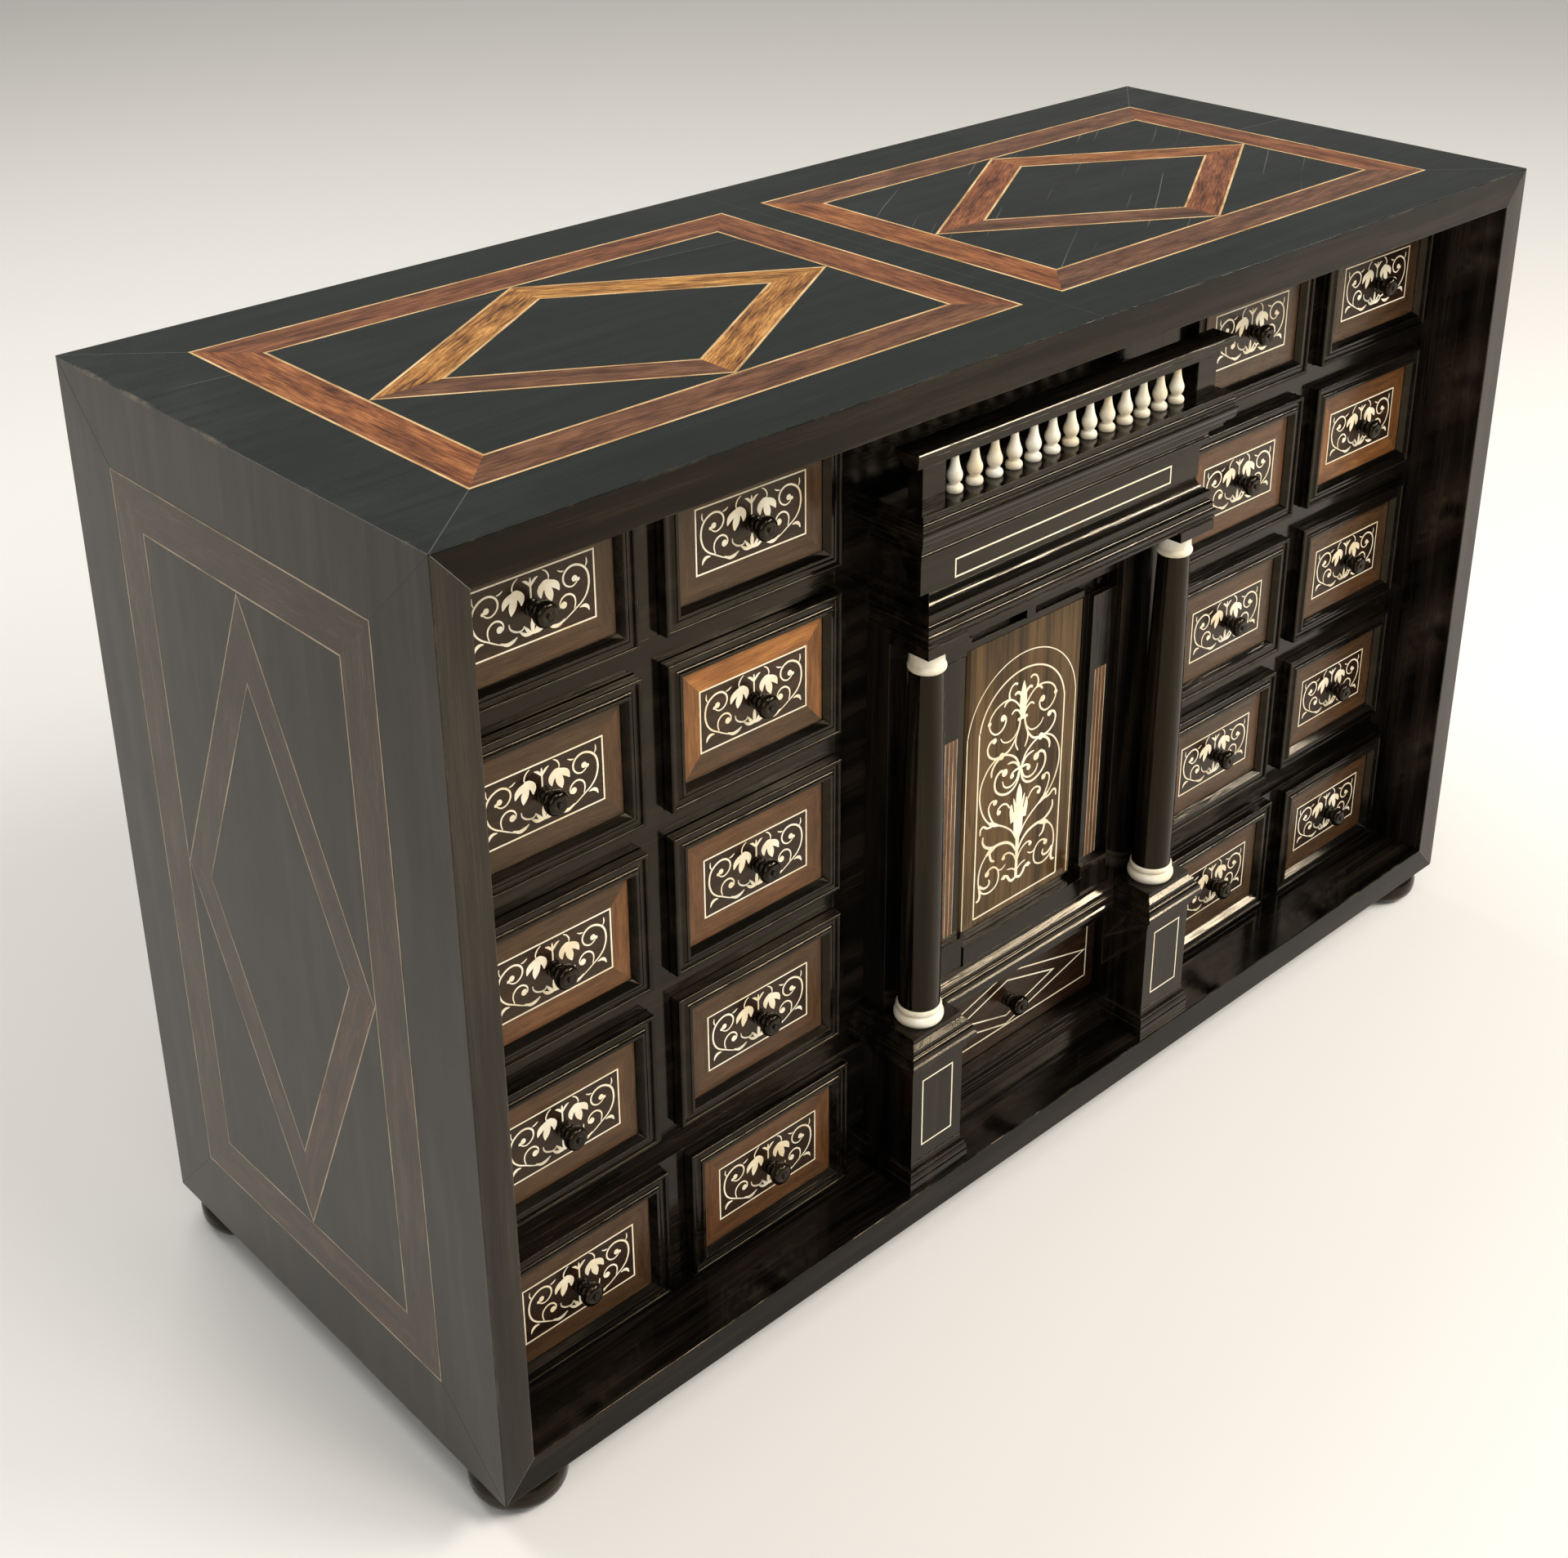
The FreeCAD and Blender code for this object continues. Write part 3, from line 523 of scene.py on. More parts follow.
turnedBoneLook = {
    "light": (0.86, 0.81, 0.69),
    "warm": (0.7, 0.58, 0.38),
    # This dark colour tints real dirt specks and, in the hollows, painted shade.
    "dirt and shade": (0.13, 0.085, 0.05),
    "cloudScale": 60.0,
    "speckScale": 900.0,
    "specks": 0.35,
    "rough": 0.28,
    "reach": 0.0016,
    "subsurface": 0.15,
}
inlayBoneLook = {
    "light": (0.86, 0.79, 0.62),
    "warm": (0.71, 0.57, 0.35),
    "dirt and shade": (0.2, 0.12, 0.06),
    "cloudScale": 45.0,
    "speckScale": 1500.0,
    "specks": 0.6,
    "rough": 0.3,
}
lineTints = {
    "stringing": ("box stringing", (0.3, 0.16, 0.06), (0.56, 0.36, 0.16), (0.74, 0.55, 0.3)),
    "mitreLine": ("worn mitre", (0.03, 0.03, 0.026), (0.13, 0.125, 0.105), (0.3, 0.285, 0.24)),
    "mitreGap": ("open mitre", (0.001, 0.001, 0.001), (0.004, 0.003, 0.002), (0.05, 0.035, 0.02)),
    "stringingSide": ("box stringing of the sides", (0.14, 0.1, 0.06), (0.34, 0.26, 0.17), (0.52, 0.42, 0.29)),
}
woods = {
    "ebonyAcross": ("ebony, grain across", ebonyLook),
    "ebonyUpright": ("ebony, grain upright", {**ebonyLook, "grain": "z"}),
    "ebonyTop": ("ebony of the top", {**boardEbonyLook, **topLook, "wear": 0.4, "cracks": cracksOf["margin"]}),
    "ebonyFieldLeft": ("ebony of the left field", {**fieldLook, "cracks": cracksOf["left"]}),
    "ebonyFieldRight": ("ebony of the right field", {**fieldLook, "cracks": cracksOf["right"]}),
    "ebonySide": ("ebony of the sides", {**boardEbonyLook, **sideTint, "cracks": cracksOf["side"]}),
    "ebonyBottom": ("ebony of the bottom", boardEbonyLook),
    "ebonySideField": ("ebony of the side fields", {**fieldLook, **sideTint, "cracks": cracksOf["side"]}),
    "palisander": ("palisander banding", palisanderLook),
    "palisanderDrawer": ("palisander of the drawer banding", drawerBandLook),
    "palisanderDark": ("palisander of the drawer fields", drawerFieldLook),
    "palisanderSide": ("palisander of the sides", sideBandLook),
    "rosewood": ("rosewood of the door", doorWoodLook),
    "carcass": ("pine of the carcass", pineLook),
    "pineDeep": ("pine of the drawer boxes", {**pineLook, "grain": "y"}),
    "pineUpright": ("pine of the niche", {**pineLook, "grain": "z"}),
}
materials = {key: woodMaterial(*wood) for key, wood in woods.items()}
for key, (name, dark, middle, light) in lineTints.items():
    materials[key] = woodMaterial(name, {**stringingLook, "dark": dark, "middle": middle, "light": light})
materials["bone"] = boneMaterial("turned bone", turnedBoneLook)
materials["boneInlay"] = boneMaterial("bone inlay", inlayBoneLook)
print("materials made")


def ridesOn(name, mesh, body, material):
    piece = bpy.data.objects.new(name, mesh)
    bpy.context.scene.collection.objects.link(piece)
    mesh.materials.append(materials[material])
    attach(piece, body)
    return piece


def faceFront(depth, x=0.0, level=0.0):
    place = Matrix.Translation(Vector((x, depth - halfDepth, level + footHeight)) * millimetre)
    return place @ Matrix.Rotation(math.pi / 2, 4, "X") @ Matrix.Scale(millimetre, 4)


def finishFlat(bm, name, place, body, material):
    flipped = [face for face in bm.faces if face.normal.z < 0]
    bmesh.ops.reverse_faces(bm, faces=flipped)
    bmesh.ops.solidify(bm, geom=bm.faces[:], thickness=stand["below"])
    bmesh.ops.recalc_face_normals(bm, faces=bm.faces[:])
    bmesh.ops.transform(bm, matrix=place, verts=bm.verts[:])
    mesh = bpy.data.meshes.new(name)
    bm.to_mesh(mesh)
    bm.free()
    return ridesOn(name, mesh, body, material)


flatLook = {"turnMargin": 0.01, "toneBias": 2, "cuts": 9, "discSides": 14, "curveSteps": 4, "onAxis": 0.01}


def flatMesh():
    bm = bmesh.new()
    bm.loops.layers.uv.new("grain")
    bm.faces.layers.float.new("tone")
    return bm


def layGrain(bm, faces, chance, tones=None, centre=(0, 0)):
    # Lays each strip's grain along its longest edge, in metres, from a place of its own in the wood.
    # Four tones are for the strips to the right, behind, to the left and in front of the centre.
    layer = bm.loops.layers.uv["grain"]
    toneLayer = bm.faces.layers.float["tone"]
    for face in faces:
        middle = face.calc_center_median()
        turn = math.atan2(middle.y - centre[1], middle.x - centre[0]) % math.tau
        side = int((turn + flatLook["turnMargin"]) / (math.tau / 4)) % 4
        face[toneLayer] = chance.random() ** flatLook["toneBias"] if tones is None else tones[side]
        edge = max(face.edges, key=lambda side: side.calc_length())
        along = (edge.verts[1].co - edge.verts[0].co).normalized()
        across = Vector((-along.y, along.x, 0))
        shift = Vector((chance.uniform(0, flatLook["cuts"]), chance.uniform(0, flatLook["cuts"])))
        for loop in face.loops:
            loop[layer].uv = Vector((loop.vert.co @ along, loop.vert.co @ across)) * millimetre + shift


def rectangle(bm, centre, half, level):
    place = Matrix.Translation((*centre, level)) @ Matrix.Diagonal((*half, 1, 1))
    return bmesh.ops.create_grid(bm, x_segments=1, y_segments=1, size=1, matrix=place)["verts"][0].link_faces[0]


def lozenge(bm, centre, half, level):
    place = Matrix.Translation((*centre, level)) @ Matrix.Diagonal((*half, 1, 1))
    made = bmesh.ops.create_circle(bm, cap_ends=True, segments=4, radius=1, matrix=place)
    return made["verts"][0].link_faces[0]


def hollow(bm, face, width, inner=None):
    centre = face.calc_center_median()
    ring = bmesh.ops.inset_individual(bm, faces=[face], thickness=width, use_even_offset=True)["faces"]
    if inner:
        for vert in face.verts:
            offset = vert.co - centre
            vert.co.x = centre.x + math.copysign(inner[0], offset.x)
            vert.co.y = centre.y + math.copysign(inner[1], offset.y)
    bmesh.ops.delete(bm, geom=[face], context="FACES_ONLY")
    return ring


def edging(bm, look, centre=(0, 0), half="half"):
    return hollow(bm, rectangle(bm, centre, look[half], stand["line"]), look["line"])


def smoothPath(points, steps):
    knots = [Vector(point) for point in points]
    knots = [2 * knots[0] - knots[1], *knots, 2 * knots[-1] - knots[-2]]
    path = []
    for before, start, end, after in zip(knots, knots[1:], knots[2:], knots[3:]):
        for step in range(steps):
            t = step / steps
            turn = (2 * before - 5 * start + 4 * end - after) * t * t
            path.append(start + ((end - before) * t + turn + (3 * start - before - 3 * end + after) * t**3) / 2)
    return [*path, knots[-2]]


def ribbon(bm, points, widths, level, steps=flatLook["curveSteps"]):
    # The three widths are at the start, the middle and the end.
    path = smoothPath(points, steps)
    last = len(path) - 1
    for vert in bmesh.ops.create_grid(bm, x_segments=last, y_segments=1, size=1)["verts"]:
        place = round((vert.co.x + 1) / 2 * last)
        ahead = path[min(place + 1, last)] - path[max(place - 1, 0)]
        share = place / last
        swell = math.sin(math.pi * share)
        width = (widths[0] * (1 - share) + widths[2] * share) * (1 - swell) + widths[1] * swell
        at = path[place] + Vector((-ahead.y, ahead.x)).normalized() * vert.co.y * width / 2
        vert.co = (at.x, at.y, level)


def line(bm, start, end, width, level):
    ribbon(bm, [start, end], (width, width, width), level, 1)


def disc(bm, centre, radius, level):
    place = Matrix.Translation((*centre, level))
    bmesh.ops.create_circle(bm, cap_ends=True, segments=flatLook["discSides"], radius=radius, matrix=place)


def scrollwork(bm, design):
    level = stand["stroke"]
    for widths, points in design["strokes"]:
        sides = (1, -1) if any(abs(x) > flatLook["onAxis"] for x, y in points) else (1,)
        for side in sides:
            level += stand["step"]
            ribbon(bm, [(side * x, y) for x, y in points], widths, level)
    for radius, centre in design["discs"]:
        for side in (1, -1):
            level += stand["step"]
            disc(bm, (side * centre[0], centre[1]), radius, level)


boardLook = {"round": 0.0006, "segments": 3, "under": 0.17, "rim": 0.5}
caseNodes = {
    "top_board": ("top_board_veneered", "ebonyTop", "z"),
    "left_side": ("left_side_veneered", "ebonySide", "x"),
    "right_side": ("right_side_veneered", "ebonySide", "x"),
    "bottom_board": ("bottom_board_veneered", "ebonyBottom", "z"),
}
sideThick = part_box("left_side")[1].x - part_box("left_side")[0].x
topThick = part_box("top_board")[1].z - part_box("top_board")[0].z
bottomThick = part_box("bottom_board")[1].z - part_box("bottom_board")[0].z


def caseBoard(node, name, material, axis):
    low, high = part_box(node)
    bm = bmesh.new()
    bmesh.ops.create_cube(bm, size=1)
    for vert in bm.verts:
        share = vert.co + Vector((0.5, 0.5, 0.5))
        vert.co = Vector(low[i] + (high[i] - low[i]) * share[i] for i in range(3))
        if axis == "z" and (share.z < 0.5) == (node == "top_board"):
            vert.co.x -= math.copysign(sideThick, vert.co.x)
        outer = abs(abs(vert.co.x) - caseWidth / 2 * millimetre) < millimetre
        if axis == "x" and not outer:
            vert.co.z += bottomThick if share.z < 0.5 else -topThick
        if node == "top_board" and share.z > 0.5:
            vert.co.z -= boardLook["under"] * millimetre
        if share.y < 0.5:
            vert.co.y += boardLook["under"] * millimetre
        if outer:
            vert.co.x -= math.copysign(boardLook["under"] * millimetre, vert.co.x)
    bmesh.ops.bevel(
        bm,
        geom=bm.edges[:],
        offset=boardLook["round"],
        segments=boardLook["segments"],
        profile=0.5,
        affect="EDGES",
        material=-1,
    )
    bmesh.ops.recalc_face_normals(bm, faces=bm.faces[:])
    # The top board's up-facing faces take the top's ebony with its painted greenish reflection; its edges take the
    # darker ebony of the bottom.
    for face in bm.faces:
        face.material_index = int(node == "top_board" and face.normal.z < boardLook["rim"])
    mesh = bpy.data.meshes.new(name)
    bm.to_mesh(mesh)
    bm.free()
    board = ridesOn(name, mesh, "cabinet", material)
    if node == "top_board":
        mesh.materials.append(materials["ebonyBottom"])
    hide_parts(node)


for node, (name, material, axis) in caseNodes.items():
    caseBoard(node, name, material, axis)
print("case boards made")


topPattern = {
    "endMargin": 53.5,
    "frontMargin": 45.5,
    "gap": 33.5,
    "band": 30.0,
    "lozenge": 24.5,
    "line": 1.5,
    "hair": 0.5,
    "corner": 1.0,
    "seed": 4,
    "fields": {
        "top_field_left": {
            "side": -1,
            "material": "ebonyFieldLeft",
            "tones": {"rectangle": (0.36, 0.28, 0.55, 0.1), "lozenge": (1.0, 0.9, 0.08, 0.88)},
        },
        "top_field_right": {
            "side": 1,
            "material": "ebonyFieldRight",
            "tones": {"rectangle": (0.34, 0.1, 0.55, 0.04), "lozenge": (0.62, 0.42, 0.06, 0.4)},
        },
    },
}
sidePattern = {
    "centreDepth": 176.4,
    "centreLevel": 279.9,
    "half": (123.3, 230.0),
    "band": 29.5,
    "lozenge": 22.3,
    "line": 0.95,
    "hair": 0.4,
    "corner": 1.0,
    "seed": 7,
    "tones": {"rectangle": (0.35, 0.2, 0.5, 0.7), "lozenge": (0.1, 0.2, 0.5, 0.8)},
}


def innerHalf(half, width):
    # The half sizes of a lozenge's inner outline, when its sides move inwards by the width.
    slope = math.hypot(*half)
    return (half[0] - width * slope / half[1], half[1] - width * slope / half[0])


def compartment(bands, lines, grounds, look, centre, half, chance, tones):
    level = stand["line"]
    inside = (half[0] - look["band"], half[1] - look["band"])
    lineInside = (inside[0] + look["line"], inside[1] + look["line"])
    ring = hollow(bands, rectangle(bands, centre, half, stand["band"]), look["band"])
    layGrain(bands, ring, chance, tones["rectangle"], centre)
    layGrain(lines, hollow(lines, rectangle(lines, centre, half, level), look["line"]), chance)
    layGrain(lines, hollow(lines, rectangle(lines, centre, lineInside, level), look["line"]), chance)
    layGrain(grounds, [rectangle(grounds, centre, inside, stand["ground"])], chance)
    heart = innerHalf(inside, look["lozenge"] - look["line"])
    ring = hollow(bands, lozenge(bands, centre, inside, stand["band"] + stand["lap"]), look["lozenge"])
    layGrain(bands, ring, chance, tones["lozenge"], centre)
    for half in (inside, heart):
        layGrain(lines, hollow(lines, lozenge(lines, centre, half, level + stand["lap"]), look["line"]), chance)


def inlayTop():
    chance = random.Random(topPattern["seed"])
    place = Matrix.Translation((0, 0, (caseTop + footHeight - boardLook["under"]) * millimetre))
    place = place @ Matrix.Scale(millimetre, 4)
    bands, lines, hairs = (flatMesh() for _ in range(3))
    outerX = caseWidth / 2 - topPattern["endMargin"]
    halfX = (outerX - topPattern["gap"] / 2) / 2
    halfY = halfDepth - topPattern["frontMargin"]
    for name, field in topPattern["fields"].items():
        side = field["side"]
        ground = flatMesh()
        centre = (side * (outerX - halfX), 0)
        compartment(bands, lines, ground, topPattern, centre, (halfX, halfY), chance, field["tones"])
        finishFlat(ground, name, place, "cabinet", field["material"])
        for end in (1, -1):
            corner = (side * (caseWidth / 2 - topPattern["corner"]), end * (halfDepth - topPattern["corner"]))
            line(hairs, corner, (side * outerX, end * halfY), topPattern["hair"], stand["ground"])
    joint = halfDepth - topPattern["corner"]
    line(hairs, (0, -joint), (0, joint), topPattern["hair"] / 2, stand["ground"])
    finishFlat(bands, "top_banding", place, "cabinet", "palisander")
    finishFlat(lines, "top_stringing", place, "cabinet", "stringing")
    finishFlat(hairs, "top_mitre_lines", place, "cabinet", "mitreLine")


def inlaySide(side, name):
    chance = random.Random(sidePattern["seed"] + side)
    x = side * (caseWidth / 2 - boardLook["under"]) * millimetre
    place = Matrix.Translation((x, 0, footHeight * millimetre)) @ Matrix.Rotation(side * math.pi / 2, 4, "Z")
    place = place @ Matrix.Rotation(math.pi / 2, 4, "X") @ Matrix.Scale(millimetre, 4)
    bands, lines, ground, hairs = (flatMesh() for _ in range(4))
    centre = (side * (sidePattern["centreDepth"] - halfDepth), sidePattern["centreLevel"])
    half = sidePattern["half"]
    compartment(bands, lines, ground, sidePattern, centre, half, chance, sidePattern["tones"])
    for end in (1, -1):
        for level in (0, caseTop):
            inset = math.copysign(sidePattern["corner"], caseTop / 2 - level)
            corner = (end * (halfDepth - sidePattern["corner"]), level + inset)
            target = (centre[0] + end * half[0], centre[1] + (half[1] if level else -half[1]))
            line(hairs, corner, target, sidePattern["hair"], stand["ground"])
    finishFlat(bands, name + "_banding", place, "cabinet", "palisanderSide")
    finishFlat(lines, name + "_stringing", place, "cabinet", "stringingSide")
    finishFlat(ground, name + "_field", place, "cabinet", "ebonySideField")
    finishFlat(hairs, name + "_mitre_lines", place, "cabinet", "mitreGap")


def inlayFront():
    # the case's front rim is mitred at its four corners
    hairs = flatMesh()
    for side in (1, -1):
        for level, thick in ((0, bottomThick), (caseTop, -topThick)):
            edge = topPattern["corner"]
            corner = (side * (caseWidth / 2 - edge), level + math.copysign(edge, thick))
            inner = (side * (caseWidth / 2 - sideThick / millimetre), level + thick / millimetre)
            line(hairs, corner, inner, topPattern["hair"], stand["ground"])
    finishFlat(hairs, "front_mitre_lines", faceFront(boardLook["under"]), "cabinet", "mitreLine")


inlayTop()
inlaySide(-1, "left_side")
inlaySide(1, "right_side")
inlayFront()
print("top and sides inlaid")


drawerLook = {
    "columns": {"left_outer": -360.75, "left_inner": -217.75, "right_inner": 217.75, "right_outer": 360.75},
    "levels": (486.35, 381.35, 276.35, 171.35, 66.35),
    "depths": (52.5, 52.5, 52.5, 52.5, 45.5),
    "panel": (50.75, 32.25),
    "field": (39.0, 19.0),
    "cut": 5.0,
    "line": 0.9,
    "seed": 21,
    "dull": 0.22,
    "bright": {
        "drawer_left_inner_2": (0.72, 1.0, 0.66, 0.14),
        "drawer_right_outer_2": (0.6, 0.5, 0.66, 0.62),
        "drawer_left_outer_3": (0.6, 0.12, 0.2, 0.52),
        "drawer_left_inner_3": (0.34, 0.4, 0.5, 0.48),
        "drawer_left_inner_5": (0.56, 0.34, 0.46, 0.36),
        "drawer_right_inner_2": (0.44, 0.3, 0.5, 0.3),
    },
}
fine = (0.4, 0.85, 0.4)
curl = (0.6, 1.05, 0.6)
hook = (0.35, 0.85, 0.3)
leaf = (0.35, 1.9, 0.3)
drawerScroll = {
    "strokes": [
        ((0.6, 1.2, 0.6), [
            (-17.9, -14.7), (-22, -12.6), (-26, -10.2), (-30, -7.8), (-33.1, -4.5), (-34.8, -0.2), (-35.1, 4),
            (-34.1, 8.3), (-31.6, 11.4), (-28, 13.3), (-24.5, 13.5), (-21.5, 12.1), (-19.7, 9.5), (-19.7, 6.4),
            (-21.5, 3.8), (-24.5, 2.6), (-27.3, 3.8), (-28.4, 5.9),
        ]),
        (hook, [(-33.3, 10.7), (-34.2, 12.8), (-34, 15.4)]),
        (hook, [(-20.2, 12.4), (-18.4, 12.6), (-16.3, 13.8)]),
        (curl, [
            (-25.6, -9.7), (-26.4, -6.4), (-25.8, -3.3), (-23.5, -1.2), (-20.7, -0.8), (-18.2, -2.1), (-16.9, -4.5),
            (-17.4, -6.9),
        ]),
        (leaf, [(-28.8, -10.2), (-31.6, -10), (-33.6, -11.2), (-34.7, -13.6)]),
        ((0.5, 2.1, 0.5), [(-19.4, -13.3), (-15.9, -15.2), (-12.4, -14.9), (-9.3, -13.3)]),
        (curl, [(-13.8, -5), (-13.4, -7.4), (-11.4, -9.5), (-8.6, -10.7), (-6.1, -10.5), (-4.8, -8.8)]),
        ((0.9, 4.0, 0.4), [(-9.0, 10.9), (-12.4, 8.6), (-15.4, 6.4), (-17.0, 3.2)]),
        ((1.0, 4.6, 0.3), [(-9.0, 10.6), (-10.2, 6.0), (-11.4, 2.1), (-12.2, -1.2)]),
        ((0.9, 3.9, 0.4), [(-8.6, 11.2), (-6.6, 8.4), (-5.6, 5.6), (-5.9, 2.4)]),
        (fine, [(-10.6, 10.7), (-10.9, 13.1), (-9.6, 15.7), (-7.3, 17.3)]),
        ((0.35, 1.5, 0.3), [(0, 10.5), (-1.4, 12.6), (-2.8, 14), (-4.6, 14.8)]),
        ((0.9, 1.0, 1.0), [(0, 2.6), (0, 6), (0, 11.4)]),
        ((0.9, 1.4, 0.4), [(0, 10), (0, 12.6), (0, 15.4)]),
        ((1, 2.4, 0.5), [(0, -14.5), (0, -10), (0, -6)]),
        (leaf, [(0, -14.5), (-2.6, -12.4), (-5, -9)]),
        (leaf, [(-0.4, -14.6), (-4.6, -13.6), (-8, -11)]),
    ],
    "discs": [(1.7, (-26.4, 6.4)), (1.9, (-19.2, -5.8)), (1.0, (-28.6, 5.4)), (2.9, (-9.3, 8.6))],
}


def inlayDrawer(name, x, level, depth, chance):
    place = faceFront(depth, x, level)
    bands, grounds, inlay = (flatMesh() for _ in range(3))
    panel = rectangle(bands, (0, 0), drawerLook["panel"], stand["band"])
    ring = hollow(bands, panel, drawerLook["cut"], drawerLook["field"])
    dull = [chance.uniform(0, drawerLook["dull"]) for strip in ring]
    tones = drawerLook["bright"].get(name, dull)
    layGrain(bands, ring, chance, tones)
    layGrain(grounds, [rectangle(grounds, (0, 0), drawerLook["field"], stand["ground"])], chance, [tones[0]] * 4)
    edging(inlay, drawerLook, half="field")
    scrollwork(inlay, drawerScroll)
    finishFlat(bands, name + "_banding", place, name, "palisanderDrawer")
    finishFlat(grounds, name + "_field", place, name, "palisanderDark")
    finishFlat(inlay, name + "_inlay", place, name, "boneInlay")


drawerChance = random.Random(drawerLook["seed"])
for column, x in drawerLook["columns"].items():
    for row, (level, depth) in enumerate(zip(drawerLook["levels"], drawerLook["depths"]), 1):
        inlayDrawer(f"drawer_{column}_{row}", x, level, depth, drawerChance)
print("drawers inlaid")


porticoSeed = 33
plinthLook = {
    "depth": 49.2,
    "centre": (0, 74.75),
    "field": (89.4, 32.2),
    "half": (81.6, 22.5),
    "line": 1.0,
    "inner": (48.5, 14.5),
}
pedestalLook = {"depth": 6.3, "x": 112.5, "level": 76.0, "half": (13.5, 24.75), "line": 0.9}
friezeLook = {"depth": 18.6, "level": 431.65, "half": (96.75, 5.95), "line": 1.0}
pilasterLook = {
    "depth": 42.3,
    "x": 69.3,
    "half": (5.5, 70.0),
    "level": 229.8,
    "line": 0.6,
    "tone": 0.5,
    "flutes": (-5.1, -1.7, 1.7, 5.1),
}
doorLook = {
    "depth": 46.3,
    "foot": 153.0,
    "sill": 156.7,
    "spring": 286.0,
    "outer": {"half": 50.5, "rise": 48.0, "line": 0.7},
    "inner": {"half": 39.7, "rise": 36.5, "line": 1.15},
    "steps": 28,
}
slim = (0.9, 1.05, 0.7)
vine = (1.15, 1.15, 1.6)
thick = (1.1, 1.3, 1.6)
bold = (1.3, 1.6, 2.2)
